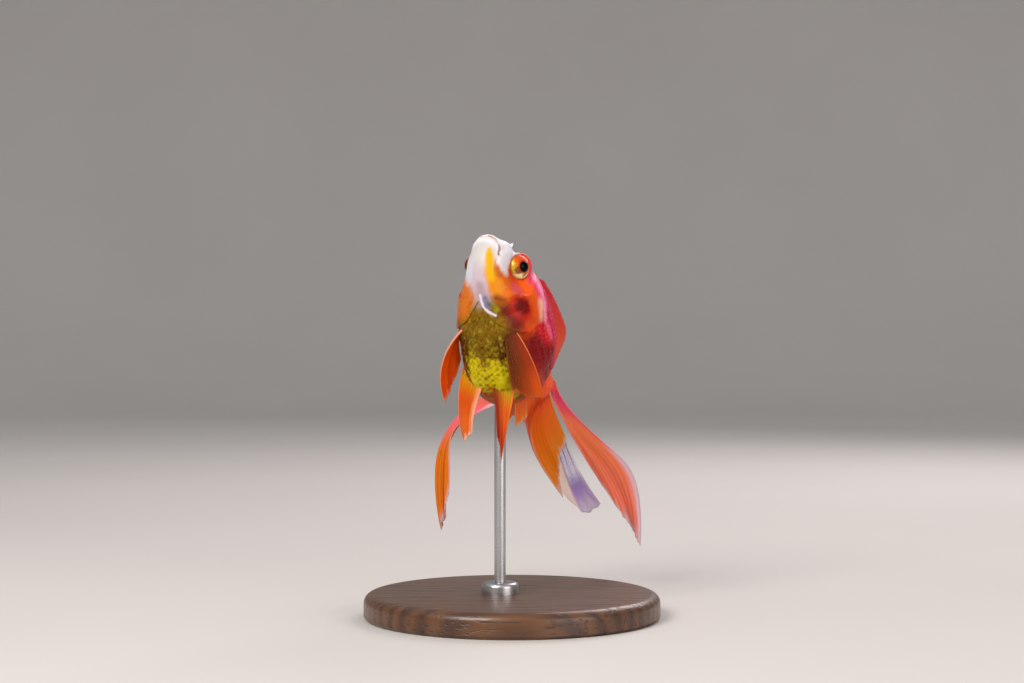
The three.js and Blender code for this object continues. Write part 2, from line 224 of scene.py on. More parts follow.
floor_paint = Paint("studio_floor")
floor_grain = floor_paint.noise(floor_paint.place(), 6.0, 3.0)
floor_colour = floor_paint.mix(floor_grain, colour("c9c6c3"), colour("d2cfcc"))
floor_paint.finish(Base_Color=floor_colour, Roughness=0.85)
bend = [(FLOOR_RADIUS + WALL_CURVE * math.sin(t), WALL_CURVE * (1 - math.cos(t)))
        for t in np.linspace(0, math.pi / 2, 14)]
floor_profile = [(0.0, 0.0), *bend, (FLOOR_RADIUS + WALL_CURVE, WALL_HEIGHT)]
floor_points, floor_faces = turned(floor_profile, 96)
floor_faces = [tuple(reversed(face)) for face in floor_faces]
floor = mesh_object("studio_floor", floor_points, floor_faces, floor_paint.material)

camera_lens = bpy.data.cameras.new("camera")
camera_lens.sensor_width = 36
camera_lens.lens = FOCAL_LENGTH
camera_lens.clip_start = 0.01
camera = bpy.data.objects.new("camera", camera_lens)
camera.location = CAMERA_PLACE
camera.rotation_euler = (math.pi / 2, 0, 0)
scene.collection.objects.link(camera)
scene.camera = camera

LIGHT_AIM = Vector((0, 0, 0.06))
for light_name, light_place, light_width, light_power, light_colour in [
    ("key", (-0.3, -0.46, 0.42), 0.3, 3.9, "fff8f0"),
    ("fill", (0.5, -0.5, 0.16), 0.5, 2.2, "fff4f2"),
    ("rim", (0.3, 0.5, 0.5), 0.4, 2.4, "fff2f2"),
]:
    lamp = bpy.data.lights.new(light_name, "AREA")
    lamp.size = light_width
    lamp.energy = light_power
    lamp.color = colour(light_colour)[:3]
    light = bpy.data.objects.new(light_name, lamp)
    light.location = light_place
    light.rotation_euler = (LIGHT_AIM - Vector(light_place)).to_track_quat("-Z", "Y").to_euler()
    scene.collection.objects.link(light)

world = bpy.data.worlds.new("studio")
world.use_nodes = True
sky = world.node_tree.nodes["Background"].inputs
sky["Color"].default_value = colour("f4f5f8")
sky["Strength"].default_value = 0.55
scene.world = world
scene.view_settings.view_transform = "Standard"

# ---- Display stand ----
# A turned walnut base with a rounded top edge, and a brushed-steel collar and rod that hold the fish by its
# belly. The base is oiled wood with its grain along X. The collar is screwed to it, with the rod pushed in.

walnut = Paint("walnut")
across_grain = walnut.scaled(walnut.place(), (9.0, 120.0, 120.0))
growth = walnut.noise(across_grain, 1.0, 4.0)
along_grain = walnut.scaled(walnut.place(), (10.0, 60.0, 60.0))
rings = walnut.node("ShaderNodeTexWave", {"wave_type": "BANDS", "bands_direction": "Y"},
                    {"Vector": along_grain, "Scale": 1.6, "Distortion": 5.0, "Detail": 3.0}, 1)
pores = walnut.noise(walnut.scaled(walnut.place(), (60.0, 1400.0, 1400.0)), 1.0, 2.0)
pores = walnut.step(pores, 0.56, 0.68)
wood = walnut.mix(rings, colour("4a2c18"), colour("6d4526"))
wood = walnut.mix(growth * 0.5, wood, colour("2c180c"))
wood = walnut.mix(pores * 0.6, wood, colour("1d0f07"))
walnut.finish(
    Base_Color=wood,
    Roughness=0.38 + 0.2 * pores,
    Coat_Weight=0.25,
    Coat_Roughness=0.2,
    Normal=walnut.bump(1 - pores, 0.0002, 0.5),
)

steel = Paint("brushed_steel")
brushing = steel.noise(steel.scaled(steel.place(), (300.0, 300.0, 9000.0)), 1.0, 2.0)
steel.finish(
    Base_Color=steel.mix(brushing, colour("a9abad"), colour("c9cbcd")),
    Metallic=1.0,
    Roughness=0.2 + 0.22 * brushing,
    Normal=steel.bump(brushing, 0.00003, 0.4),
)

SHARP_EDGE = 40  # degrees
BASE_EDGE = 0.0022  # radius of the base's top edge
BASE_FOOT = 0.0008  # bevel under the base
BASE_RIM = 0.006  # width of the flat ring inside the edge
COLLAR_EDGE = 0.0011
COLLAR_BEVEL = 0.0002  # round the mouth of its bore
BORE_CLEARANCE = 0.0001  # between the rod and the collar
ROD_EDGE = 0.0004


def rounded_edge(radius, top, edge):
    """The profile of an outer edge, rounded from the side to the top."""
    turns = np.linspace(0, math.pi / 2, 9)
    return [(radius - edge * (1 - math.cos(t)), top - edge * (1 - math.sin(t))) for t in turns]


def stand_piece(name, node, paint, profile, segments, centre=(0.0, 0.0), closed=False):
    """A turned piece of the stand, in the place of a node."""
    points, faces = turned(profile, segments, centre, closed)
    piece = mesh_object(name, points, facing_out(points, faces), paint.material, SHARP_EDGE)
    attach(piece, "root")
    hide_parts(node)


base_low, base_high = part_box("stand_base")
base_radius, base_top = base_high.x, base_high.z
base_profile = [(0.0, base_low.z), (base_radius - BASE_FOOT, base_low.z)]
base_profile += [(base_radius, base_low.z + BASE_FOOT)]
base_profile += rounded_edge(base_radius, base_top, BASE_EDGE)
base_profile += [(base_radius - BASE_RIM, base_top), (0.0, base_top)]
stand_piece("stand_base_turned", "stand_base", walnut, base_profile, 160)

collar_low, collar_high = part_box("stand_collar")
rod_low, rod_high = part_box("stand_rod")
rod_centre = ((rod_low.x + rod_high.x) / 2, (rod_low.y + rod_high.y) / 2)
rod_radius = (rod_high.x - rod_low.x) / 2
collar_radius = (collar_high.x - collar_low.x) / 2
bore_radius = rod_radius + BORE_CLEARANCE
collar_profile = [(bore_radius, base_top), (collar_radius, base_top)]
collar_profile += rounded_edge(collar_radius, collar_high.z, COLLAR_EDGE)
collar_profile += [(bore_radius + COLLAR_BEVEL, collar_high.z), (bore_radius, collar_high.z - COLLAR_BEVEL)]
stand_piece("stand_collar_turned", "stand_collar", steel, collar_profile, 96, rod_centre, True)

rod_profile = [(0.0, base_top), (rod_radius, base_top), (rod_radius, rod_high.z - ROD_EDGE)]
rod_profile += [(rod_radius - ROD_EDGE, rod_high.z), (0.0, rod_high.z)]
stand_piece("stand_rod_drawn", "stand_rod", steel, rod_profile, 48, rod_centre)

# ---- Skin ----
# One skin over the head, jaw, gill covers, trunk and tail root, of smooth wet flesh. It is worked out in the
# fish's own frame, in millimetres: +X to its left, +Y to its tail, +Z to its back, from the tip of the snout.

BODY_LENGTH = 52.5
BODY_MIDDLE = 0.471
BODY_PLACE = np.array([-1.0, 0.0, 71.2])
CLIMB, ROLL, LEAN = math.radians(54), math.radians(32), math.radians(17)
POSE = np.array(
    Matrix.Rotation(-LEAN, 3, "Y") @ Matrix.Rotation(-CLIMB, 3, "X") @ Matrix.Rotation(ROLL, 3, "Y")
)
BODY_ORIGIN = BODY_PLACE - POSE @ np.array([0, BODY_MIDDLE * BODY_LENGTH, 0])


def placed(points):
    """Points in the fish's frame and millimetres, as metres in the row frame."""
    return (np.asarray(points, float) @ POSE.T + BODY_ORIGIN) / 1000


def curve_through(*rows):
    """A smooth curve through [place, value] rows, with no overshoot between them."""
    x, y = np.array(rows, float).T
    slope = np.diff(y) / np.diff(x)
    inner = np.zeros(len(x) - 2)
    same = slope[:-1] * slope[1:] > 0
    inner[same] = 2 * slope[:-1][same] * slope[1:][same] / (slope[:-1][same] + slope[1:][same])
    tangent = np.concatenate([slope[:1], inner, slope[-1:]])

    def value(at):
        at = np.clip(at, x[0], x[-1])
        i = np.clip(np.searchsorted(x, at) - 1, 0, len(x) - 2)
        width = x[i + 1] - x[i]
        t = (at - x[i]) / width
        first = y[i] * (1 + 2 * t) * (1 - t) ** 2 + tangent[i] * width * t * (1 - t) ** 2
        return first + y[i + 1] * t * t * (3 - 2 * t) - tangent[i + 1] * width * t * t * (1 - t)

    return value


BACK = curve_through(
    [0, 0.052], [0.01, 0.068], [0.042, 0.092], [0.105, 0.122], [0.21, 0.17], [0.335, 0.222],
    [0.49, 0.262], [0.64, 0.25], [0.8, 0.218], [0.9, 0.212], [1, 0.232],
)
BELLY = curve_through(
    [0, 0.02], [0.01, -0.012], [0.042, -0.07], [0.125, -0.141], [0.26, -0.22], [0.42, -0.288],
    [0.58, -0.326], [0.7, -0.295], [0.82, -0.135], [0.91, 0], [1, 0.065],
)
HALF_WIDTH = curve_through(
    [0, 0.02], [0.01, 0.043], [0.042, 0.074], [0.125, 0.122], [0.26, 0.173], [0.44, 0.197],
    [0.59, 0.199], [0.72, 0.165], [0.87, 0.076], [1, 0.037],
)
THROAT = curve_through([0, 0.05], [0.05, 0.26], [0.14, 0.26], [0.26, 0.14], [0.4, 0], [1, 0])
GILL_EDGE = curve_through([0, 0.3], [55, 0.33], [105, 0.4], [150, 0.3], [168, 0.235], [180, 0.19])
GILL_FRONT = curve_through([0, 0.27], [60, 0.262], [105, 0.246], [150, 0.2], [180, 0.14])
SQUARENESS = 0.92


def from_back(angle):
    """Degrees from the middle of the back, down either side."""
    return np.degrees(np.arccos(np.clip(np.cos(angle), -1, 1)))


def body_point(share, angle, size=1.0):
    """A point on the body, by its share of the length and its angle from the back round the left side."""
    back, belly = BACK(share), BELLY(share)

    def full(value):
        return np.sign(value) * np.abs(value) ** SQUARENESS

    narrowed = 1 - THROAT(share) * ((1 - np.cos(angle)) / 2) ** 1.5
    x = HALF_WIDTH(share) * full(np.sin(angle)) * narrowed * size
    z = (back + belly) / 2 + (back - belly) / 2 * full(np.cos(angle)) * size
    return np.stack([x, share + 0 * x, z], axis=-1) * BODY_LENGTH


def eased(value, low, high):
    """0 at low and 1 at high, eased between them; low may be the greater."""
    t = np.clip((value - low) / (high - low), 0, 1)
    return t * t * (3 - 2 * t)


def hump(distance, width):
    """1 at no distance, falling off like a bell."""
    return np.exp(-((distance / width) ** 2))


def unit(vectors):
    """The same directions, each vector one long."""
    return vectors / np.maximum(np.linalg.norm(vectors, axis=-1, keepdims=True), 1e-9)


def to_line(points, path):
    """Distance from each point to a path, and how far along the path it is nearest, from 0 to 1."""
    path = np.asarray(path, float)
    best = np.full(points.shape[:-1], 1e9)
    along = np.zeros(points.shape[:-1])
    for k, (a, b) in enumerate(zip(path[:-1], path[1:])):
        t = np.clip((points - a) @ (b - a) / ((b - a) @ (b - a)), 0, 1)
        distance = np.linalg.norm(points - a - t[..., None] * (b - a), axis=-1)
        nearer = distance < best
        best = np.where(nearer, distance, best)
        along = np.where(nearer, (k + t) / (len(path) - 1), along)
    return best, along


def mirrored(points):
    """The same points, all on the left side."""
    return np.concatenate([np.abs(points[..., :1]), points[..., 1:]], axis=-1)


AROUND = 300  # points in each ring of the skin
SNOUT_RINGS, HEAD_RINGS, TRUNK_RINGS, TAIL_RINGS = 24, 111, 99, 10
BENT_RINGS = 54  # from the snout on, which bend sharply
SNOUT_DEPTH = 0.45  # over which the very tip of the snout rounds off
TAIL_DEPTH = 0.9  # and the end of the tail root
BLUNTNESS = 0.8  # of both ends
SCALE_DEPTH = 0.25  # of the coat of scales over the skin
EDGE_SHARE, COAT_SHARE = 0.006, 0.01  # of the length, before and behind the edge of the gill cover

skin_angles = np.arange(AROUND) * 2 * math.pi / AROUND
gill_edge = GILL_EDGE(from_back(skin_angles))
ring_shares, ring_sizes, ring_plates, ring_coats = [], [], [], []


def add_ring(shares, size=1.0, plate=1.0, coat=0.0):
    """One ring of the skin: where it lies, its size, how far the gill cover stands out, and its coat."""
    ring_shares.append(np.broadcast_to(shares, AROUND))
    ring_sizes.append(size)
    ring_plates.append(plate)
    ring_coats.append(coat)


snout_share = SNOUT_DEPTH / BODY_LENGTH
for t in np.linspace(0, math.pi / 2, SNOUT_RINGS + 2)[1:-1]:
    add_ring(snout_share * (1 - math.cos(t) ** BLUNTNESS), math.sin(t) ** BLUNTNESS)
for u in np.linspace(0, 1, HEAD_RINGS + 1)[:-1]:
    add_ring(snout_share + (gill_edge - EDGE_SHARE - snout_share) * u * (0.5 + 0.5 * u))
# Round the free edge of the gill cover: millimetres before it, then how much plate and coat there is.
for back_mm, plate, coat in [
    (0.3, 1.0, 0), (0.12, 0.97, 0), (0.03, 0.8, 0), (0, 0.5, 0), (0.02, 0.2, 0.3),
    (0.1, 0, 0.8), (0.12, 0, 1.2), (-0.05, 0, 1.25), (-0.25, 0, 1.1),
]:
    add_ring(gill_edge - back_mm / BODY_LENGTH, 1.0, plate, coat)
tail_share = 1 - TAIL_DEPTH / BODY_LENGTH
for u in np.linspace(0, 1, TRUNK_RINGS + 1)[1:]:
    add_ring(gill_edge + COAT_SHARE + (tail_share - gill_edge - COAT_SHARE) * u, 1.0, 0.0, 1.0)
for t in np.linspace(0, math.pi / 2, TAIL_RINGS + 2)[1:-1]:
    add_ring(tail_share + (1 - tail_share) * math.sin(t), math.cos(t) ** BLUNTNESS, 0.0, 1.0)

shares = np.array(ring_shares)
sizes = np.array(ring_sizes)[:, None]
plates = np.array(ring_plates)[:, None]
coats = np.array(ring_coats)[:, None]
degrees = from_back(skin_angles)[None, :]
bare = body_point(shares, skin_angles[None, :], sizes)

# The way out of the skin comes from the smooth body, so that the folds don't disturb each other. Round the
# end of the tail root it leans back. Over the head, where the rings bend sharply, it comes from their grid.
ahead = body_point(shares + 0.002, skin_angles[None, :], sizes)
beside = body_point(shares, skin_angles[None, :] + 0.01, sizes)
outward = np.cross(beside - bare, ahead - bare)
tail_end = slice(-TAIL_RINGS - 1, None)
section = unit(bare[tail_end] - body_point(shares[tail_end], skin_angles[None, :], 0.0))
lean = np.clip(sizes[tail_end], 0, 1)[..., None] ** 3
outward[tail_end] = section * lean + np.sqrt(1 - lean**2) * np.array([0, 1, 0])
outward = unit(outward)
round_ring = np.roll(bare, -1, axis=1) - np.roll(bare, 1, axis=1)
outward[:BENT_RINGS] = unit(np.cross(round_ring, np.gradient(bare, axis=0)))[:BENT_RINGS]

left = mirrored(bare)
rise = np.zeros(bare.shape[:-1])

# Gill covers: plates that stand out of the head, with a free edge, and a thick membrane under the throat.
GILL_PROUD = 0.38
plate_rise = GILL_PROUD * eased(degrees, 38, 62) * (1 - 0.85 * eased(degrees, 108, 145))
front = (shares - GILL_FRONT(degrees)) * BODY_LENGTH  # millimetres behind the front of the plate
rise += plates * plate_rise * eased(front, -0.4, 0.5)
groove = eased(degrees, 62, 80) * (1 - eased(degrees, 140, 158))
rise -= 0.2 * groove * hump(front + 0.35, 0.34)
rise -= 0.12 * groove * hump(front - 2.1 - 0.02 * (degrees - 90), 0.4) * plates
under_coat = np.where(coats > 1.01, 1.0, eased((shares - gill_edge) * BODY_LENGTH, -0.2, 0.6))
rise -= coats * SCALE_DEPTH * under_coat

# Mouth: a slit across the tip of the snout that runs down to a corner on each side, between rounded lips.
MOUTH = [
    (0.0, 0.1, 2.75), (1.1, 0.2, 2.5), (2.1, 0.5, 2.05), (2.9, 1.3, 1.7), (3.5, 2.1, 0.9), (3.8, 2.9, -0.7),
]
distance, along = to_line(left, MOUTH)
open_mouth = 1 - eased(along, 0.86, 1)
rise += 0.2 * hump(distance - 0.55, 0.34) * (1 - eased(along, 0.7, 1))
rise -= 0.85 * hump(distance, 0.24) * open_mouth

# Folds of the lips, jaw, throat and cheek, and the ridge of the brow: height, half width, how far along it
# the fold is full, from where it fades, and its path.
for height, width, full_from, fades_from, path in [
    (-0.16, 0.3, 0.3, 0.7, [(2.4, 2.2, 3.3), (3.6, 3.2, 2.6), (4.5, 4.2, 1.0)]),
    (-0.2, 0.38, 0.2, 0.7, [(3.8, 2.9, -1.2), (3.6, 4.3, -3.4), (3.7, 6.0, -4.9), (4.4, 8.2, -6.3)]),
    (-0.42, 0.36, 0.3, 0.8,
     [(1.3, 8.2, -8.4), (1.7, 9.6, -9.1), (2.1, 10.8, -9.7), (3.1, 11.8, -10.0), (4.1, 12.9, -10.0)]),
    (-0.16, 0.3, 0.2, 0.8, [(5.4, 9.2, -5.4), (6.6, 10.8, -4.4), (7.6, 12.2, -2.4), (8.0, 12.6, -0.4)]),
    (0.3, 0.9, 0.3, 0.7, [(4.4, 6.5, 6.2), (6.0, 9.5, 6.5), (6.7, 13.0, 7.0)]),
]:
    distance, along = to_line(left, path)
    rise += height * hump(distance, width) * eased(along, 0, full_from) * (1 - eased(along, fades_from, 1))

# Mounds and pits: place, height and half width.
for spot, height, width in [
    ((3.1, 4.3, 4.6), 0.75, 1.5),  # swelling that carries the nostril
    ((2.9, 4.0, 4.9), -0.5, 0.42),  # nostril, in front of its flap
    ((5.9, 16.9, -9.9), 0.6, 1.6),  # fleshy pad of the pectoral fin
    ((3.6, 29.6, -15.2), 0.5, 1.9),  # and of the pelvic fin
    ((0, 38.0, -11.2), -0.5, 0.7),  # vent
]:
    rise += height * hump(np.linalg.norm(left - np.array(spot), axis=-1), width)

skin_points = bare + outward * rise[..., None]

# Eye sockets: the skin hollows towards each eye, and rises into a fleshy brow over it.
EYE_RADIUS = 3.2
EYE_PLACE = np.array([5.15, 9.4, 2.95])
EYE_FACING = np.array([0.86, -0.32, -0.28]) / np.linalg.norm([0.86, -0.32, -0.28])
RIM_RADIUS, RIM_THICKNESS, RIM_HEIGHT = 2.98, 0.42, 0.72
BROW_SIDE = np.array([0.15, 0.35, 0.92])  # the side of the rim that is the brow
SOCKET_REACH = 7.5  # from the middle of the eye
SOCKET_DEPTH = 2.4  # that the skin may move in or out
SOCKET_STEP = 0.04


def melted(first, second, reach):
    """The union of two forms, melted together over a reach, or what they share where the reach is below 0."""
    blend = np.clip(0.5 + 0.5 * (first - second) / reach, 0, 1)
    return first * (1 - blend) + second * blend - reach * blend * (1 - blend)


def socket_form(points, depth):
    """How far outside the flesh round the eye each point is, given how far it is outside the bare head."""
    offset = points - EYE_PLACE
    height = offset @ EYE_FACING
    flat = offset - height[..., None] * EYE_FACING
    spread = np.maximum(np.linalg.norm(flat, axis=-1), 1e-6)
    brow = np.clip(flat @ BROW_SIDE / spread, 0, 1)
    dish = height - (1.2 + 0.9 * brow + 0.45 * (spread - RIM_RADIUS))
    flesh = melted(depth, dish, -0.8)
    ring = np.hypot(spread - RIM_RADIUS, height - RIM_HEIGHT - 0.5 * brow) - RIM_THICKNESS - 0.22 * brow
    flesh = melted(flesh, ring, 0.6)
    ball = np.linalg.norm(offset, axis=-1) - EYE_RADIUS - 0.03
    lid = np.maximum(ball - 0.2, height - RIM_HEIGHT + 0.3 - 0.55 * brow)
    return np.maximum(melted(flesh, lid, 0.35), -ball)


near_eye = np.linalg.norm(mirrored(skin_points) - EYE_PLACE, axis=-1) < SOCKET_REACH
from_here = mirrored(skin_points)[near_eye]
away = outward[near_eye] * np.where(skin_points[near_eye][:, :1] < 0, [-1, 1, 1], 1)
moved = np.full(len(from_here), -SOCKET_DEPTH)
settled = np.zeros(len(from_here), bool)
before = np.ones(len(from_here))
for depth in np.arange(SOCKET_DEPTH, -SOCKET_DEPTH, -SOCKET_STEP):
    form = socket_form(from_here + away * depth, np.full(len(from_here), depth))
    crossing = (form <= 0) & ~settled
    share_of_step = before[crossing] / np.maximum(before[crossing] - form[crossing], 1e-9)
    moved[crossing] = depth + SOCKET_STEP * (1 - np.clip(share_of_step, 0, 1))
    settled |= crossing
    before = form
skin_points[near_eye] += outward[near_eye] * moved[:, None]


def capped_tube(rings, start, end):
    """A closed tube over an array of rings, drawn to a point at both ends."""
    count, around = rings.shape[:2]
    points = np.concatenate([rings.reshape(-1, 3), [start, end]])
    beside = [(i, (i + 1) % around) for i in range(around)]
    faces = [(low + i, low + j, low + around + j, low + around + i)
             for low in range(0, (count - 1) * around, around) for i, j in beside]
    last = (count - 1) * around
    for i, j in beside:
        faces += [(count * around, j, i), (count * around + 1, last + i, last + j)]
    return points, faces


def joined(parts):
    """One set of points and faces from several."""
    points, faces, first = [], [], 0
    for part_points, part_faces in parts:
        points.append(np.asarray(part_points, float))
        faces += [tuple(first + i for i in face) for face in part_faces]
        first += len(part_points)
    return np.concatenate(points), faces


# A little upright leaf of skin behind each nostril, thin and pointed, leaning back.
FLAP_ROOT = np.array([2.9, 4.7, 4.5])
FLAP_HEIGHT = 3.4
FLAP_WIDTH, FLAP_THICKNESS = 1.25, 0.26  # to either side, at the root
FLAP_LEAN = math.radians(20)
FLAP_SIDES = 20


def nostril_flap(side):
    """The flap as a closed tube, on the left side for 1 and on the right for -1."""
    rings = []
    turn = np.arange(FLAP_SIDES) * 2 * math.pi / FLAP_SIDES
    for t in np.linspace(0.04, 0.985, 18):
        width = FLAP_WIDTH * (1 - t) ** 0.8 + 0.05
        thick = FLAP_THICKNESS * (1 - t) + 0.08
        curl = 0.35 * math.sin(math.pi * t)
        x = FLAP_ROOT[0] + width * np.cos(turn) + 0.3 * t
        y = FLAP_ROOT[1] + thick * np.sin(turn) + FLAP_HEIGHT * t * math.sin(FLAP_LEAN)
        y += curl * np.cos(turn) ** 2
        z = FLAP_ROOT[2] + FLAP_HEIGHT * t * math.cos(FLAP_LEAN) + 0 * turn
        rings.append(np.stack([x * side, y, z], axis=-1))
    rings = np.array(rings)
    return capped_tube(rings, rings[0].mean(0), rings[-1].mean(0) + [0, 0.02, 0.06])


snout_tip = np.array([0, 0, (BACK(0) + BELLY(0)) / 2 * BODY_LENGTH])
snout_tip[1] = skin_points[0, :, 1].mean() * 0.9
tail_tip = np.array([0, BODY_LENGTH, (BACK(1) + BELLY(1)) / 2 * BODY_LENGTH])
skin_parts = [capped_tube(skin_points, snout_tip, tail_tip)]
skin_parts += [nostril_flap(side) for side in (1, -1)]
skin_parts = [(points, facing_out(points, faces)) for points, faces in skin_parts]

# Markings shared by the skin and its scales, each a spot or a streak in the fish's frame and millimetres:
# colour, path, half width across it, and how softly it ends. Some are painted highlights and painted shade,
# as their notes say. Those of the first list are on both sides of the fish, and those of the second, which
# lie over them, only where their paths say.
MARKINGS_AND_PAINTED_LIGHT = [
    ("a40a2c", [(0, 14, 12), (0, 50, 12)], 9.0, 0.35),  # crimson back
    # pinkish crimson upper back, partly a painted pink sheen
    ("c00c48", [(5.0, 20, 9), (7.0, 32, 9)], 4.4, 0.5),
    ("860006", [(9.8, 26.0, -6.4), (10.2, 33, -2.8), (8, 39, 0)], 4.4, 0.5),  # dark-red lower flank, partly painted shade
    ("d40c1c", [(9.6, 21.0, -2.6), (10.0, 27, 0.2)], 2.8, 0.6),
    ("6e3a02", [(0, 14, -12), (0, 31, -17)], 9.6, 0.28),  # brown edge of the belly, painted shade
    ("7a5802", [(0, 13, -11.5), (0, 31, -17.5)], 7.4, 0.4),  # olive belly: its gold darkened by painted shade
    ("562802", [(5.2, 20, -13.4), (6.2, 27, -14.0)], 2.4, 0.8),  # brown before the pectoral fins, painted shadow of the fins
    ("cc5c08", [(0, 35, -15.5), (0, 42, -8)], 4.6, 0.4),  # orange before the anal fins
    ("dc6400", [(5.2, 8.5, -5.6), (6.8, 12.5, -5.0)], 3.2, 0.5),  # orange cheek
    ("ec5c0c", [(8.0, 12.5, 1.0), (8.9, 14.8, 0.2)], 2.6, 0.6),  # behind the eye
    ("e05208", [(9.0, 15.4, -2.0), (9.6, 19.0, -2.6), (9.2, 20.4, -5.4)], 1.9, 0.6),  # rear of the gill cover
    ("6c1000", [(6.4, 13.6, -8.0), (7.4, 16.8, -8.2)], 2.2, 0.6),  # dark under the gill cover
    ("c84414", [(9.2, 18.9, -6.2), (9.6, 19.3, -4.6)], 1.0, 0.8),
    ("b01400", [(7.9, 14.3, -5.4), (8.3, 15.4, -5.2)], 2.8, 0.5),  # red about the spot
    ("6e0000", [(8.0, 14.4, -5.2), (8.3, 15.2, -4.8)], 1.8, 0.4),  # dark-red spot on the gill cover
    ("ee3474", [(7.6, 12.0, 5.0), (8.6, 16.0, 4.0), (9.4, 19.6, 3.2), (9.8, 25.0, 3.2)], 2.6, 0.6),  # pink band along the upper flank, a painted pink highlight
    # brightest part of the pink band, a painted highlight
    ("ff9cc4", [(8.0, 13.6, 4.8), (8.8, 16.8, 4.0), (9.4, 20.0, 3.2)], 1.3, 0.9),
    # painted pink highlight on the flank
    ("f0607c", [(10.2, 23.6, 0.9), (10.3, 28.4, 1.2)], 1.1, 0.9),
    # painted pale pink highlight
    ("fca0b0", [(9.9, 20.6, 2.2), (10.2, 22.8, 1.2)], 1.1, 0.9),
    # pinkish crimson upper flank, partly a painted pink sheen
    ("d01448", [(9.6, 24.5, 3.6), (9.6, 31.0, 4.4), (9.2, 36, 2.0)], 2.2, 0.7),
    ("f8bca0", [(9.7, 18.4, 0.8), (9.9, 20.8, -1.0)], 1.25, 0.9),  # pale glint behind the gill cover
    ("f8560a", [(3, 42, 6), (0, 54, 8)], 5.0, 0.5),  # orange tail root
    ("cc4460", [(6.9, 10.4, -3.0), (7.6, 11.6, -2.6)], 1.1, 0.9),  # rosy patch under the eye
    ("ec5044", [(5.2, 9.0, 6.4), (6.8, 12.0, 6.0)], 2.0, 0.7),  # rosy brow
    ("dcdce4", [(0, 0, 2.0), (1.8, 1.8, 2.4), (2.2, 4.0, 4.6)], 4.3, 0.3),  # white snout
    ("e0d4d0", [(4.9, 5.4, -1.0), (5.2, 6.4, -2.0)], 1.3, 0.7),  # pale cheek under the eye
    ("e2dee4", [(4.3, 3.2, 1.2), (4.9, 5.0, -0.4)], 2.0, 0.35),  # white cheek
    ("e0d8dc", [(3.3, 2.4, -1.2), (3.8, 3.9, -1.8), (4.4, 5.2, -2.2)], 1.0, 0.7),
    ("c4c0be", [(0, 2.5, -2.0), (0, 5.5, -6.0)], 3.3, 0.25),  # white chin
    ("c0aeb8", [(0, 5.6, -6.6), (0, 8.2, -8.4)], 3.0, 0.8),  # lilac throat: the white darkened by painted shade
]
OWN_MARKINGS_AND_PAINTED_LIGHT = [
    ("c8cad6", [(-3.4, 4.5, -2.0), (-4.2, 6.6, -4.4)], 3.0, 0.3),  # white right jaw
    # darker lilac in the middle of the throat, painted shade
    ("a68e98", [(0.5, 7.2, -7.8), (0.8, 9.4, -9.1)], 1.2, 0.9),
    ("dc6a00", [(4.2, 7.4, -5.4), (5.2, 9.4, -6.6)], 2.0, 0.7),
    ("d88602", [(3.0, 5.0, -5.0), (3.5, 6.8, -5.9), (4.2, 8.4, -6.7)], 1.6, 0.6),  # yellow streak
    ("f0aa00", [(1.85, 1.1, -1.1), (2.05, 2.0, -2.2)], 0.5, 0.8),
    ("f0aa00", [(2.1, 2.0, -2.2), (2.35, 3.0, -3.3)], 0.85, 0.6),
    ("eeaa00", [(2.45, 3.2, -3.6), (2.7, 5.0, -5.0), (2.85, 5.6, -5.5)], 1.1, 0.7),
    ("8a4400", [(4.2, 10.2, -8.1), (5.6, 11.6, -7.7)], 0.9, 0.9),  # dark lower edge of the cheek
    ("b4601a", [(3.9, 4.8, -3.6), (4.5, 6.4, -4.2)], 0.7, 0.9),  # brown edge of the cheek, painted shade beside the yellow streak
    ("5a6e94", [(1.8, 9.5, -9.2), (2.3, 11.0, -9.9), (2.8, 11.5, -10.1)], 0.45, 0.9),  # painted blue-grey shadow in the throat fold
    ("8a8604", [(4.2, 12.4, -9.6)], 0.55, 1.0),  # its yellow-green end
    ("d4cee4",
     [(0.6, 8.7, -8.9), (1.0, 10.4, -9.8), (1.7, 11.8, -10.4), (2.9, 12.8, -10.5), (3.8, 13.4, -10.3)],
     0.3, 0.9),  # pale rim of the gill membrane
    ("c06006", [(-6.6, 13.4, -7.0), (-7.4, 16.6, -7.6)], 2.4, 0.6),
    ("cc6a06", [(-5.2, 9.2, -6.0), (-3.3, 10.0, -8.5), (-4.6, 13.0, -9.4)], 2.2, 0.8),  # orange right cheek
]
# These two are the skin's alone.
MOUTH_TINT = ("84581c", MOUTH, 0.3, 0.8)
LIP_TINT = ("dcc0b0", [(0.0, 0.0, 2.3), (1.3, 0.3, 2.1), (2.3, 0.9, 1.7)], 0.5, 1.0)


UNEVENNESS = 0.9  # millimetres that the outlines of the markings wander


def fish_place(paint):
    """Where each point is in the fish's frame, in millimetres, made a little uneven: as it is, and as the
    same place on the fish's left."""
    settings = {
        "Vector": paint.place(),
        "Location": tuple(BODY_ORIGIN / 1000),
        "Rotation": tuple(Matrix(POSE.tolist()).to_euler("XYZ")),
        "Scale": (0.001, 0.001, 0.001),
    }
    own = paint.node("ShaderNodeMapping", {"vector_type": "TEXTURE"}, settings)
    uneven = paint.vector("SUBTRACT", paint.noise(own, 0.55, 3.0, output=1), (0.5, 0.5, 0.5))
    own = paint.vector("MULTIPLY_ADD", uneven, (UNEVENNESS,) * 3, own)
    x, y, z = paint.parts(own)
    return own, paint.together(abs(x), y, z)


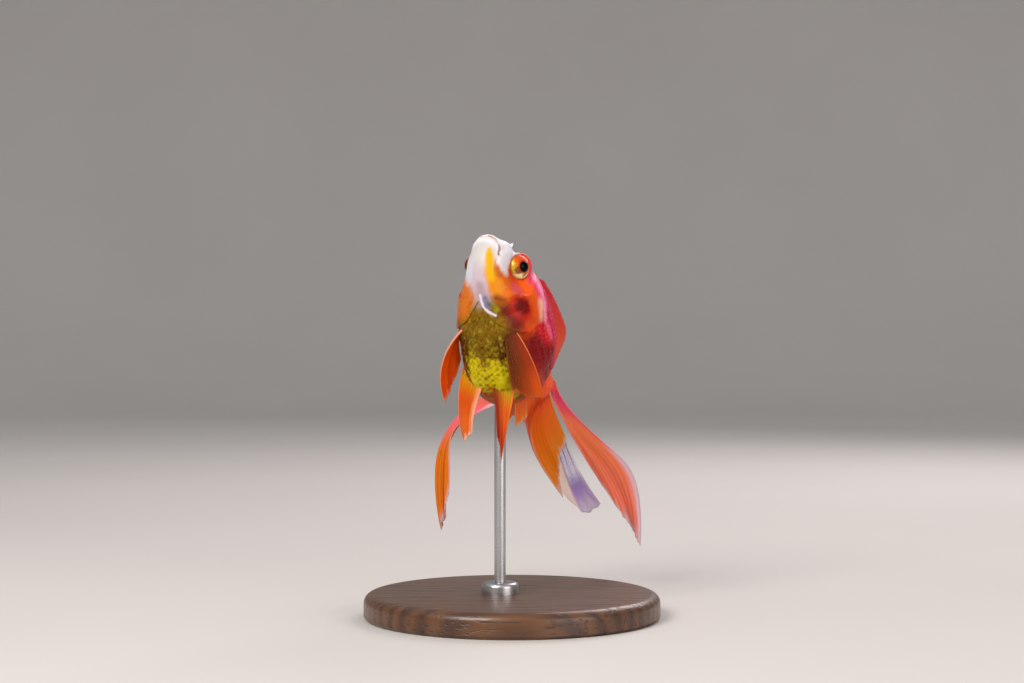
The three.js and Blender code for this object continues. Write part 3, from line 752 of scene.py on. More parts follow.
def from_path(paint, place, path):
    """Distance from a path, in millimetres."""
    nearest = paint.vector("DISTANCE", place, path[0], output=1)
    for start, end in zip(path[:-1], path[1:]):
        way = Vector(end) - Vector(start)
        offset = paint.vector("SUBTRACT", place, start)
        along = paint.vector("DOT_PRODUCT", offset, tuple(way / way.length_squared), output=1)
        along = paint.node("ShaderNodeClamp", None, {0: along})
        foot = paint.node("ShaderNodeVectorMath", {"operation": "SCALE"}, {0: tuple(way), "Scale": along})
        distance = paint.vector("DISTANCE", offset, foot, output=1)
        nearest = nearest.math("MINIMUM", nearest, distance)
    return nearest


def marked(paint, ground, place, markings):
    """A ground colour with markings, painted highlights and painted shade laid over it one after another."""
    for code, path, reach, soft in markings:
        mask = paint.step(from_path(paint, place, path), reach * (1 + soft), reach * (1 - soft))
        ground = paint.mix(mask, ground, colour(code))
    return ground


def fish_colour(paint):
    """The fish's markings and painted light over an orange-red ground, and the place on its left that they
    were laid by.
    """
    own, both = fish_place(paint)
    ground = marked(paint, colour("cc3408"), both, MARKINGS_AND_PAINTED_LIGHT)
    blotches = paint.noise(both, 0.8, 4.0)
    belly = paint.step(from_path(paint, both, [(0, 14, -13), (0, 31, -18)]), 8.0, 5.0)
    ground = paint.mix(belly * paint.step(blotches, 0.48, 0.62) * 0.5, ground, colour("8c8406"))
    ground = paint.mix(belly * paint.step(blotches, 0.46, 0.34) * 0.5, ground, colour("573c00"))
    for golden_path in ([(-2.8, 25, -15.7), (-2.3, 30, -16.7)], [(3.0, 25.6, -15.9), (3.9, 34, -15.4)]):
        golden = paint.step(from_path(paint, own, golden_path), 5.2, 0.3)
        golden = paint.step(golden + (blotches - 0.5) * 1.6 * paint.step(golden, 0.0, 0.1), 0.2, 0.95)
        ground = paint.mix(golden * 0.85, ground, colour("d2c008"))
    return marked(paint, ground, own, OWN_MARKINGS_AND_PAINTED_LIGHT), both


skin_paint = Paint("wet_skin")
skin_tint, skin_place = fish_colour(skin_paint)
freckles = skin_paint.step(skin_paint.noise(skin_place, 2.4, 3.0), 0.5, 0.72)
skin_tint = skin_paint.mix(freckles * 0.07, skin_tint, colour("b98a5a"))
skin_tint = marked(skin_paint, skin_tint, skin_place, [LIP_TINT, MOUTH_TINT])
pits = skin_paint.noise(skin_place, 5.0, 3.0)
skin_paint.finish(
    Base_Color=skin_tint,
    Roughness=0.3 + 0.16 * pits,
    Specular_IOR_Level=0.14,
    Coat_Weight=0.07,
    Coat_Roughness=0.14,
    Subsurface_Weight=0.06,
    Subsurface_Radius=(1.0, 0.35, 0.2),
    Subsurface_Scale=0.0008,
    Normal=skin_paint.bump(pits, 0.00006, 0.6),
)

skin_mesh_points, skin_mesh_faces = joined(skin_parts)
skin = mesh_object("skin", placed(skin_mesh_points), skin_mesh_faces, skin_paint.material)
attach(skin, "root")
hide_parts("head", "lower_jaw", "gill_cover_left", "gill_cover_right", "trunk", "tail_base")

# ---- Eyes ----
# Each eye is a glossy ball that stands out of its socket in the skin. The iris is slightly metallic, orange
# and red above, gold and yellow below with dark flecks, the pale yellow below partly a painted highlight, and
# sunk round a black pupil, under a clear coat.

PUPIL_RADIUS = 1.28
IRIS_RADIUS = 3.08
IRIS_SINK = 0.16
PUPIL_SINK = 0.02
BALL_SIDES = 72


def on_eye_axis(side, rings):
    """Points given as (distance from the eye's axis, height along it), turned about that axis."""
    facing = EYE_FACING * [side, 1, 1]
    across = np.cross(facing, [0, 0, 1])
    across /= np.linalg.norm(across)
    up = np.cross(across, facing)
    turn = np.arange(BALL_SIDES) * 2 * math.pi / BALL_SIDES
    circle = np.cos(turn)[:, None] * across + np.sin(turn)[:, None] * up
    middle = EYE_PLACE * [side, 1, 1]
    return np.array([middle + facing * height + circle * radius for radius, height in rings]), middle, facing


def eye_profile():
    """From the front of the pupil, over the iris and round the back of the ball."""
    for t in np.linspace(0.08, 1, 10):
        spread = PUPIL_RADIUS * t
        yield spread, math.sqrt(EYE_RADIUS**2 - spread**2) - PUPIL_SINK - IRIS_SINK * 0.5 * t**4
    for t in np.linspace(0.04, 1, 18):
        spread = PUPIL_RADIUS + (IRIS_RADIUS - PUPIL_RADIUS) * t
        sink = IRIS_SINK * math.sin(math.pi * min(1, t + 0.25) ** 0.8) + PUPIL_SINK
        yield spread, math.sqrt(EYE_RADIUS**2 - spread**2) - max(PUPIL_SINK, sink)
    for turn in np.linspace(math.asin(IRIS_RADIUS / EYE_RADIUS) + 0.04, math.pi - 0.08, 26):
        yield EYE_RADIUS * math.sin(turn), EYE_RADIUS * math.cos(turn)


eye_paint = Paint("eyeball")
eye_place = eye_paint.attribute("eye")
eye_back, eye_up, eye_out = eye_paint.parts(eye_place)
streaks = eye_paint.noise(eye_place, 1.3, 5.0)
ragged = (eye_paint.noise(eye_place, 2.2, 3.0) - 0.5) * 1.2
black_fleck = eye_paint.vector("DISTANCE", eye_place, (-1.5, -0.9, 1.8), output=1) + ragged
olive_fleck = eye_paint.vector("DISTANCE", eye_place, (0.5, -1.9, 2.0), output=1) + ragged
iris_tint = eye_paint.mix(eye_paint.step(eye_up + ragged, -0.2, 1.4), colour("dc7a24"), colour("e0501e"))
for value, low, high, strength, code in [
    (eye_back + ragged, -1.5, -2.5, None, "cca42c"),  # gold towards the mouth
    (eye_up + ragged * 0.6, -1.3, -2.0, None, "efe6a4"),  # pale yellow below, partly a painted highlight
    (black_fleck, 1.2, 0.7, 0.75, "34301a"),
    (olive_fleck, 0.7, 0.4, 0.7, "5a5010"),
    (streaks, 0.5, 0.7, 0.4, "9a3408"),
    (eye_out, 1.8, 1.35, 0.8, "8a2006"),  # dark ring about the pupil
    (eye_out, 2.6, 3.0, 0.5, "7a4a10"),  # brown rim
    (eye_out, 1.32, 1.24, None, "010101"),  # pupil
]:
    mask = eye_paint.step(value, low, high)
    iris_tint = eye_paint.mix(mask * strength if strength else mask, iris_tint, colour(code))
in_iris = eye_paint.step(eye_out, 1.25, 1.4) * eye_paint.step(eye_out, 3.3, 3.0)
eye_paint.finish(
    Base_Color=iris_tint,
    Metallic=0.3 * in_iris,
    Roughness=0.16 + 0.2 * in_iris,
    Coat_Weight=0.04 + 0.36 * in_iris,
    Coat_Roughness=0.04,
    Specular_IOR_Level=0.06,
    Normal=eye_paint.bump(streaks * in_iris, 0.00008, 0.5),
)


def point_values(mesh, name, values):
    """Keeps a number or a vector for each point of a mesh."""
    values = np.asarray(values, np.float32)
    kind, field = ("FLOAT", "value") if values.ndim == 1 else ("FLOAT_VECTOR", "vector")
    mesh.attributes.new(name, kind, "POINT").data.foreach_set(field, values.ravel())


PAST_IRIS = 9.0  # stands for the distance from the axis on the back of the ball
for side, side_name in ((1, "left"), (-1, "right")):
    ball_rings, eye_middle, eye_way = on_eye_axis(side, list(eye_profile()))
    ball_points, ball_faces = capped_tube(
        ball_rings, eye_middle + eye_way * (EYE_RADIUS - PUPIL_SINK), eye_middle - eye_way * EYE_RADIUS
    )
    ball_faces = facing_out(ball_points, ball_faces)
    eyeball = mesh_object(f"eyeball_{side_name}", placed(ball_points), ball_faces, eye_paint.material)
    offset = ball_points - eye_middle
    height = offset @ eye_way
    spread = offset - height[:, None] * eye_way
    radial = np.where(height > 0, np.linalg.norm(spread, axis=1), PAST_IRIS)
    backward = spread @ [0.47 * side, 0.52, 0.65] / 0.957
    upward = spread @ [0, -0.8, 0.6]
    point_values(eyeball.data, "eye", np.stack([backward, upward, radial], axis=1))
    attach(eyeball, "root")
    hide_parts(f"eye_{side_name}")

# ---- Scales ----
# Thin horny plates in staggered rows, each rooted in the skin under the one before it, from the gill covers
# to the tail root. They are clear with a metallic layer under them, gold on the belly, and lie flat.

SCALE_ROWS = 42
SCALE_COLUMNS = 30
SCALE_SIZES = {"Thickness": 0.04, "Tilt": math.radians(3.6), "Crown": 0.07, "Seed": 4}
SCALE_WIDTH = 1.7  # times the space between rows, so that each scale covers half of its neighbours
SCALE_OVERLAP = 1.9  # times the space between columns
LAST_SCALE = 0.985  # share of the body's length
CROWDING = 0.25  # how much closer the scales stand towards the tail


def scale_roots():
    """Where each scale grows, its turn, its size and its place on an unwrap of the body."""
    row = np.repeat(np.arange(SCALE_ROWS), SCALE_COLUMNS)
    column = np.tile(np.arange(SCALE_COLUMNS), SCALE_ROWS)
    angle = 2 * math.pi * row / SCALE_ROWS
    start = GILL_EDGE(from_back(angle)) + 0.004
    progress = (column + 0.5 * (row % 2)) / SCALE_COLUMNS
    share = start + (LAST_SCALE - start) * ((1 + CROWDING) * progress - CROWDING * progress**2)
    here = body_point(share, angle)
    along = unit(body_point(share + 0.004, angle) - here)
    round_body = body_point(share, angle + 0.02) - here
    round_length = np.linalg.norm(round_body, axis=1) / 0.02
    normal = unit(np.cross(round_body, along))
    across = np.cross(along, normal)
    pitch = (LAST_SCALE - start) * (1 + CROWDING - 2 * CROWDING * progress) / SCALE_COLUMNS * BODY_LENGTH
    width = round_length * 2 * math.pi / SCALE_ROWS
    roots = here - normal * (SCALE_DEPTH + 0.02)
    matrices = np.stack([across, along, normal], axis=-1)
    sizes = np.stack([width * SCALE_WIDTH, pitch * SCALE_OVERLAP, np.sqrt(width * pitch)], axis=1)
    places = np.stack([0.05 + 0.9 * angle / (2 * math.pi), 0.05 + 0.9 * share], axis=1)
    shine = np.random.default_rng(4).random((len(roots), 3))
    return roots, matrices, sizes, places, shine


def growth_tree(name, source, sizes, result):
    """A Geometry Nodes tree for what grows from a mesh, with its sizes and its finish as named inputs."""
    tree = bpy.data.node_groups.new(name, "GeometryNodeTree")
    face = tree.interface
    face.new_socket(source, in_out="INPUT", socket_type="NodeSocketGeometry")
    for key, value in sizes.items():
        kind = "NodeSocketInt" if isinstance(value, int) else "NodeSocketFloat"
        face.new_socket(key, in_out="INPUT", socket_type=kind).default_value = value
    face.new_socket("Finish", in_out="INPUT", socket_type="NodeSocketMaterial")
    face.new_socket(result, in_out="OUTPUT", socket_type="NodeSocketGeometry")
    given = tree.nodes.new("NodeGroupInput")
    work = Nodes(tree)
    return work, [Socket(work, s) for s in given.outputs[:len(sizes) + 2]]


def plain_and_finished(work, shape, finish):
    """The end of a tree: one smooth plain mesh with its material."""
    shape = work.node("GeometryNodeSetShadeSmooth", None, {"Geometry": shape, "Shade Smooth": True})
    shape = work.node("GeometryNodeRealizeInstances", None, {"Geometry": shape})
    shape = work.node("GeometryNodeSetMaterial", None, {"Geometry": shape, "Material": finish})
    work.tree.links.new(shape.socket, work.tree.nodes.new("NodeGroupOutput").inputs[0])
    return work.tree


def scale_tree():
    """One scale on each root, turned and sized as the root says."""
    work, given = growth_tree("scale_coat", "Roots", SCALE_SIZES, "Scales")
    roots, thickness, tilt, crown, seed, finish = given

    # A flat grid, one unit each way from its root, rounded at the tip and drawn in at the root.
    grid_sizes = {"Size X": 1.0, "Size Y": 1.0, "Vertices X": 5, "Vertices Y": 5}
    leaf = work.node("GeometryNodeMeshGrid", None, grid_sizes)
    spot = work.node("GeometryNodeInputPosition")
    x, y, _ = work.parts(spot)
    along = y + 0.5
    tip = work.node("ShaderNodeMapRange", None, {"Value": along, "From Min": 0.4, "From Max": 1.0})
    root = work.node("ShaderNodeMapRange", None, {"Value": along, "From Min": 0.35, "From Max": 0.0})
    slim = (1 - tip * tip * 0.6) * (1 - root * 0.35)
    bowed = along - abs(x) * abs(x) * 1.1 * along
    high = crown * (0.25 - x * x) - 0.12 * along * along
    shaped = work.together(x * slim, bowed, high)
    leaf = work.node("GeometryNodeStoreNamedAttribute", {"data_type": "FLOAT_VECTOR", "domain": "POINT"},
                     {"Geometry": leaf, "Name": "leaf", "Value": shaped})
    leaf = work.node("GeometryNodeSetPosition", None, {"Geometry": leaf, "Position": shaped})
    top = work.node("GeometryNodeExtrudeMesh", {"mode": "FACES"},
                    {"Mesh": leaf, "Offset Scale": thickness, "Individual": False})
    under = work.node("GeometryNodeFlipFaces", None, {"Mesh": leaf})
    leaf = work.node("GeometryNodeJoinGeometry", None, {0: [top, under]})
    leaf = work.node("GeometryNodeMergeByDistance", None, {"Geometry": leaf, "Distance": 0.0001})

    def read(name):
        return work.node("GeometryNodeInputNamedAttribute", {"data_type": "FLOAT_VECTOR"}, {"Name": name})

    points = work.node("GeometryNodeMeshToPoints", None, {"Mesh": roots, "Radius": 0.001})
    lean = work.together(tilt, 0.0)
    wobble = work.node("FunctionNodeRandomValue", {"data_type": "FLOAT_VECTOR"},
                       {"Min": (-0.02, -0.03, -0.05), "Max": (0.02, 0.03, 0.05), "Seed": seed})
    lean = work.node("ShaderNodeVectorMath", {"operation": "ADD"}, {0: lean, 1: wobble})
    turn = work.node("FunctionNodeRotateRotation", {"rotation_space": "LOCAL"}, {
        "Rotation": work.node("FunctionNodeEulerToRotation", None, {0: read("turn")}),
        "Rotate By": work.node("FunctionNodeEulerToRotation", None, {0: lean}),
    })
    coat = work.node("GeometryNodeInstanceOnPoints", None,
                     {"Points": points, "Instance": leaf, "Rotation": turn, "Scale": read("size")})
    coat = work.node("GeometryNodeRealizeInstances", None, {"Geometry": coat})
    patch = work.node("ShaderNodeVectorMath", {"operation": "MULTIPLY_ADD"},
                      {0: read("leaf"), 1: (0.003, 0.003, 0.0), 2: read("unwrap")})
    coat = work.node("GeometryNodeStoreNamedAttribute", {"data_type": "FLOAT2", "domain": "CORNER"},
                     {"Geometry": coat, "Name": "OFBake", "Value": patch})
    return plain_and_finished(work, coat, finish)


def grown(made, tree, values):
    """The result of a Geometry Nodes tree on an object, as that object's plain mesh."""
    modifier = made.modifiers.new("growth", "NODES")
    modifier.node_group = tree
    for item in tree.interface.items_tree:
        if item.in_out == "INPUT" and item.name in values:
            modifier[item.identifier] = values[item.name]
    bpy.context.view_layer.update()
    evaluated = made.evaluated_get(bpy.context.evaluated_depsgraph_get())
    mesh = bpy.data.meshes.new_from_object(evaluated)
    made.modifiers.remove(modifier)
    made.data = mesh
    mesh.name = made.name
    return made


scale_paint = Paint("scales")
scale_tint, scale_place = fish_colour(scale_paint)
leaf_x, leaf_y, _ = scale_paint.parts(scale_paint.attribute("leaf"))
glint, dark, _ = scale_paint.parts(scale_paint.attribute("shine"))
belly_share = scale_paint.step(from_path(scale_paint, scale_place, [(0, 12.5, -12), (0, 31, -18)]), 9.5, 6.5)
tip_edge = scale_paint.step(leaf_y + abs(leaf_x) * 0.5, 0.8, 1.02)
heart = scale_paint.step(abs(leaf_x), 0.36, 0.05) * scale_paint.step(leaf_y, 0.4, 0.75)
patches = scale_paint.noise(scale_place, 0.5, 2.0)
# Painted glints: the heart of a few scales lightened, more of them on the belly, gold there and red
# elsewhere.
gleam = scale_paint.mix(belly_share, colour("e8504a"), colour("c0a040"))
gleam_share = heart * scale_paint.step(glint + patches * 0.7, 0.95, 1.3) * (0.15 + 0.4 * belly_share)
scale_tint = scale_paint.mix(gleam_share, scale_tint, gleam)
# Painted shade at the tip of each scale, less on the belly, with a random darker tone on some scales.
tip_shade_and_tone = scale_paint.mix(belly_share, colour("700a06"), colour("5a4a04"))
scale_tint = scale_paint.mix(tip_edge * (0.2 - 0.12 * belly_share) + dark * 0.1, scale_tint, tip_shade_and_tone)
scale_paint.finish(
    Base_Color=scale_tint,
    Metallic=0.03 + 0.07 * belly_share,
    Roughness=0.4 + 0.16 * patches,
    Specular_IOR_Level=0.1,
    Coat_Weight=0.05,
    Coat_Roughness=0.2,
    Normal=scale_paint.bump(scale_paint.noise(scale_place, 9.0, 2.0), 0.00003, 0.5),
)

root_points, root_turns, root_sizes, root_unwrap, root_shine = scale_roots()
scales = bare_object("scales", placed(root_points))
turns = [Matrix((POSE @ turn).tolist()).to_euler("XYZ") for turn in root_turns]
point_values(scales.data, "turn", [tuple(turn) for turn in turns])
point_values(scales.data, "size", root_sizes / 1000)
point_values(scales.data, "unwrap", np.column_stack([root_unwrap, np.zeros(len(root_unwrap))]))
point_values(scales.data, "shine", root_shine)
grown(scales, scale_tree(), {**SCALE_SIZES, "Finish": scale_paint.material})
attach(scales, "root")

# ---- Fins ----
# Each fin is a thin web of skin over a fan of bony rays, which fork towards the edge. The rays stand out of
# the web on both sides; the web is deep orange at the root and pale and clear at its free edge.

WEB_ROOT, WEB_EDGE = 0.6, 0.13  # thickness of the web at the root and the edge
RAY_ROOT, RAY_TIP = 0.25, 0.05  # radius of a ray
WEB_STEPS = 56  # along a ray
STEPS_PER_RAY = 6  # across the web
RAY_SIDES = 6
RAY_START, RAY_END = 0.02, 0.965  # shares of the web's length
FIRST_FORK, SECOND_FORK = 0.42, 0.72
FORK_SPREAD = 0.24  # of the space between rays
LEAD_RAY = 0.012  # place across the web of the first ray, which is stout and doesn't fork


class Fin:
    """A fin's web, as a fan of curves between a few guide rays, with the number of its rays and its tints.

    A guide is its place across the fin, its root, its length, then how far it points to the fish's left of
    straight back and how far below it, at places evenly spaced along it, in degrees. After the tints come the
    place where the margin pales and how clear it is, the height of the ruffles, the tint, clearness and start
    of the trailing side, how glassy the middle is, the width of a pale leading side, where one tint turns to
    the next, and bands of other tints, each from and to where across and along the fin."""

    def __init__(self, rays, guides, tints, margin=0.8, clear=0.3, ruffle=0.25, trail=None, glassy=0.0,
                 pale=0.0, turns=(0.05, 0.45, 0.45, 0.85), bands=()):
        self.rays, self.tints, self.margin, self.clear, self.ruffle = rays, tints, margin, clear, ruffle
        self.trail, self.glassy, self.pale, self.turns, self.bands = trail, glassy, pale, turns, bands
        at = [guide[0] for guide in guides]
        across = lambda values: curve_through(*zip(at, values))
        root = [across([guide[1][axis] for guide in guides]) for axis in range(3)]
        length = across([guide[2] for guide in guides])
        spread = [across([guide[3][k] for guide in guides]) for k in range(len(guides[0][3]))]
        fall = [across([guide[4][k] for guide in guides]) for k in range(len(guides[0][4]))]
        self.columns = rays * STEPS_PER_RAY + 1
        self.grid = []
        for s in np.linspace(0, 1, self.columns):
            scallop = 1 - 0.012 * abs(math.cos(math.pi * s * rays)) ** 2 - 0.008 * math.sin(9 * s + rays)
            self.grid.append(self.ray(
                [float(curve(s)) for curve in root], float(length(s)) * scallop,
                [float(curve(s)) for curve in spread], [float(curve(s)) for curve in fall],
            ))
        self.grid = np.array(self.grid)
        self.normal = self.normals(self.grid)
        s, v = self.places()
        wave = np.sin(2.3 * math.pi * s * 2 + 3 * v) * ruffle * v**2 * 4 * s * (1 - s)
        self.grid = self.grid + self.normal * wave[..., None]
        self.normal = self.normals(self.grid)

    @staticmethod
    def ray(root, length, spread, fall):
        """The points of one curve, from its root and its turns."""
        middle = (np.arange(WEB_STEPS) + 0.5) / WEB_STEPS
        keys = np.linspace(0, 1, len(spread))
        turn = np.radians(curve_through(*zip(keys, spread))(middle))
        drop = np.radians(curve_through(*zip(keys, fall))(middle))
        steps = np.stack([np.sin(turn) * np.cos(drop), np.cos(turn) * np.cos(drop), -np.sin(drop)], axis=1)
        return np.concatenate([[root], np.array(root) + np.cumsum(steps, axis=0) * length / WEB_STEPS])

    @staticmethod
    def normals(grid):
        return unit(np.cross(np.gradient(grid, axis=1), np.gradient(grid, axis=0)))

    def places(self):
        """How far across and how far along the web each of its points is, from 0 to 1."""
        return np.meshgrid(np.linspace(0, 1, self.columns), np.linspace(0, 1, WEB_STEPS + 1), indexing="ij")

    def web(self):
        """The web as a closed sheet, with each point's place on the fin."""
        s, v = self.places()
        ridge = np.abs(np.cos(math.pi * (s * self.rays - 0.5))) ** 6
        thick = WEB_EDGE + (WEB_ROOT - WEB_EDGE) * np.exp(-4.5 * v) + 0.1 * ridge * (1 - v)
        thick *= 0.35 + 0.65 * eased(np.minimum(s, 1 - s), 0, 0.03)
        thick *= 0.4 + 0.6 * eased(1 - v, 0, 0.03)
        lift = self.normal * thick[..., None] / 2
        points = np.concatenate([(self.grid + lift).reshape(-1, 3), (self.grid - lift).reshape(-1, 3)])
        rows, columns = s.shape
        half = rows * columns
        faces = []
        for r in range(rows - 1):
            for c in range(columns - 1):
                a = r * columns + c
                faces.append((a, a + 1, a + columns + 1, a + columns))
                faces.append((half + a, half + a + columns, half + a + columns + 1, half + a + 1))
        rim = [*range(columns - 1), *range(columns - 1, half - 1, columns)]
        rim += [*range(half - 1, half - columns, -1), *range(half - columns, 0, -columns)]
        for a, b in zip(rim, rim[1:] + rim[:1]):
            faces.append((a, half + a, half + b, b))
        where = np.stack([s, v, 0 * s], axis=-1).reshape(-1, 3)
        return points, facing_out(points, faces), np.concatenate([where, where])

    def at(self, s, v):
        """A point of the web's middle layer."""
        x = np.clip(s, 0, 1) * (self.columns - 1)
        y = np.clip(v, 0, 1) * WEB_STEPS
        i = np.minimum(x.astype(int), self.columns - 2)
        j = np.minimum(y.astype(int), WEB_STEPS - 1)
        fx, fy = (x - i)[:, None], (y - j)[:, None]
        g = self.grid
        near = g[i, j] * (1 - fy) + g[i, j + 1] * fy
        far = g[i + 1, j] * (1 - fy) + g[i + 1, j + 1] * fy
        return near * (1 - fx) + far * fx

    def ray_lines(self):
        """The rays and their forks, as chains of points with a radius and a place on the fin."""
        forks = [(0.0, 1), (FIRST_FORK, 1), (FIRST_FORK, -1), (SECOND_FORK, 1), (SECOND_FORK, -1)]
        for k in range(self.rays):
            middle, stout = ((k + 0.5) / self.rays, 1.0) if k else (LEAD_RAY, 1.5)
            for start, side in forks if k else forks[:1]:
                ends = (RAY_START, 0.5, 20) if k and not start else (max(start, RAY_START), RAY_END, 26)
                v = np.linspace(*ends)
                spread = (FORK_SPREAD if start else 0.0) * eased(v, FIRST_FORK, 1.0)
                if start == SECOND_FORK:
                    spread = spread * 0.9 - 0.2 * eased(v, SECOND_FORK, 1.0)
                s = middle + side * spread / self.rays
                radius = (RAY_ROOT + (RAY_TIP - RAY_ROOT) * v**0.6) * stout * (0.72 if start else 1)
                yield self.at(s, v), radius, np.stack([s, v, np.ones(len(v))], axis=1)


# Tints are: root, middle, tip, leading ray and margin. The leading ray's tint is partly a painted highlight.
WARM = ("c83c04", "e05c04", "e4700c", "ec9048", "e8b890")
FINS = {
    "dorsal_fin": Fin(15, [
        (0, [0, 19.5, 11], 12.5, [0, 8, 14], [-62, -52, -44]),
        (0.5, [0, 30.5, 12.5], 17, [0, 10, 18], [-52, -36, -24]),
        (1, [0, 42, 10], 9, [0, 4, 8], [-34, -22, -15]),
    ], ("a80a30", "c00e30", "cc2038", "d84074", "d8605c"), 0.9, 0.2, trail=("dc6410", 0.0, 0.12)),
    # Its dark brown root and trailing side are painted shade.
    "pectoral_fin_left": Fin(13, [
        (0, [6, 17, -9], 21.4, [34, 14, 0], [8, 9, 6]),
        (0.5, [5.6, 17.3, -9.8], 19, [36, 10, -4], [30, 14, 6]),
        (1, [5, 17.6, -10.6], 15, [22, 4, -2], [50, 24, 12]),
    ], ("7a2604", "a03202", "dc5406", "f08050", "d8743a"), 0.94, 0.15, trail=("5a2e04", 0.35, 0.1)),
    "pectoral_fin_right": Fin(13, [
        (0, [-5.2, 17.6, -10.6], 22.4, [-58, -22, 8], [34, 20, 4]),
        (0.5, [-5.6, 17.3, -9.8], 18.5, [-44, -20, 0], [28, 16, 3]),
        (1, [-6, 17, -9], 11, [-34, -14, -2], [18, 10, 0]),
    ], ("d84200", "e85200", "e05404", "f29a70", "eab09a"), 0.93, 0.2),
    "pelvic_fin_left": Fin(8, [
        (0, [5.8, 31, -13.6], 20.4, [-8, -14, -9], [38, 36, 33]),
        (1, [1, 28.6, -15.8], 14, [12, 5, -2], [30, 30, 31]),
    ], ("b8a00a", "d85a08", "b83e10", "ec6a30", "c84a1c"), 0.96, 0.1, trail=("780f04", 0.0, 0.4)),
    # Its trailing side carries a painted peach highlight.
    "pelvic_fin_right": Fin(8, [
        (0, [-7.8, 28, -11.4], 20.5, [-22, -4, 20], [30, 30, 28]),
        (1, [-0.8, 29.6, -15.8], 13.5, [-34, -20, -2], [32, 31, 28]),
    ], ("c8980c", "d05000", "e06404", "e87a3a", "f0d8cc"), 0.93, 0.15, trail=("f09a70", 0.0, 0.75)),
    "anal_fin_left": Fin(6, [
        (0, [1.6, 39.5, -8.5], 8.5, [10, 6, 4], [56, 42, 32]),
        (1, [1.4, 43.5, -3.6], 6, [8, 6, 4], [40, 34, 30]),
    ], WARM, 0.85, 0.3),
    "anal_fin_right": Fin(6, [
        (0, [-1.6, 39.5, -8.5], 8.5, [-10, -6, -4], [56, 42, 32]),
        (1, [-1.4, 43.5, -3.6], 6, [-8, -6, -4], [40, 34, 30]),
    ], WARM, 0.85, 0.3),
    "tail_fin_left_upper": Fin(12, [
        (0, [1.1, 51.5, 11.6], 59, [-4, 22, 32, 8, -1], [-1, -8, -7, 24, 42]),
        (0.5, [1.1, 51.9, 10.1], 48, [-6, 10, 20, 17, 14], [-3, -5, -3, 6, 20]),
        (1, [1.1, 52, 8.6], 18, [-5, 0, 5, 7, 9], [-4, -5, -6, -5, -4]),
    ], ("e8486c", "ff8654", "fa8064", "ff5c7c", "e4c8d4"), 0.9, 0.3, 0.5, pale=0.16,
       turns=(0.14, 0.36, 0.45, 0.85), bands=[(-0.2, 1.2, -0.2, 0.05, "f4500c")]),
    "tail_fin_left_lower": Fin(11, [
        (0, [1.1, 52, 7.6], 17, [-7, -1, 3, 7, 9], [-5, -4, -2, 0, 3]),
        (0.5, [0.9, 51.8, 5.4], 22, [-19, -9, 2, 10, 14], [-2, 2, 7, 12, 16]),
        (1, [0.6, 51.3, 3.3], 33, [-37, -20, 7, 26, 33], [2, 10, 13, 10, 14]),
    ], ("e84a04", "ea6a00", "dc7c08", "e8802c", "dcc4bc"), 0.9, 0.3, 0.4),
    "tail_fin_right_upper": Fin(12, [
        (0, [-1.1, 51.5, 11.8], 60, [-68, -76, -46, 0, 18], [3, 14, 39, 37, 32]),
        (0.5, [-1.1, 51.9, 10.6], 54, [-66, -80, -45, -3, 16], [0, 25, 29, 36, 48]),
        (1, [-1.1, 52, 9.4], 45, [-62, -78, -69, -3, 24], [-8, 32, 23, 34, 64]),
    ], ("d06c10", "ee6478", "dc7004", "f06a7c", "d8bcc8"), 0.92, 0.25, 0.4,
       turns=(0.24, 0.42, 0.46, 0.66), bands=[(0.78, 1.2, -0.2, 0.38, "cdb0bc")]),
    "tail_fin_right_lower": Fin(12, [
        (0, [-1.1, 52, 8.4], 18, [-58, -59, -58, -55, -53], [-13, -9, -4, 1, 4]),
        (0.4, [-1.1, 51.9, 7.5], 15, [-35, -34, -34, -32, -29], [-9, -7, -3, 1, 2]),
        (0.68, [-1.1, 51.8, 6.7], 41, [-13, -11, -8, -1, 8], [-19, -14, -6, 5, 14]),
        (0.84, [-1.1, 51.75, 6.3], 48.5, [-9, -6, -2, 7, 27], [-22, -16, -4, 7, 14]),
        (1, [-1.1, 51.7, 6], 46, [-5, 0, 5, 15, 28], [-24, -17, -5, 6, 6]),
    ], ("dc4e08", "e06a10", "9e94dc", "c0a8c8", "d8d0e6"), 0.86, 0.15, 0.5, glassy=0.75,
       turns=(0.05, 0.3, 0.44, 0.52),
       bands=[(-0.2, 0.56, -0.2, 1.2, "e05c0a"), (0.6, 0.8, 0.62, 1.2, "e4d4cc")]),
}


def between_rays(paint, s, rays):
    """1 midway between two rays and 0 on each ray."""
    wave = paint.node("ShaderNodeMath", {"operation": "COSINE"}, {0: s * (2 * math.pi * rays)})
    return paint.step(wave * 0.5 + 0.5, 0.3, 1.0)


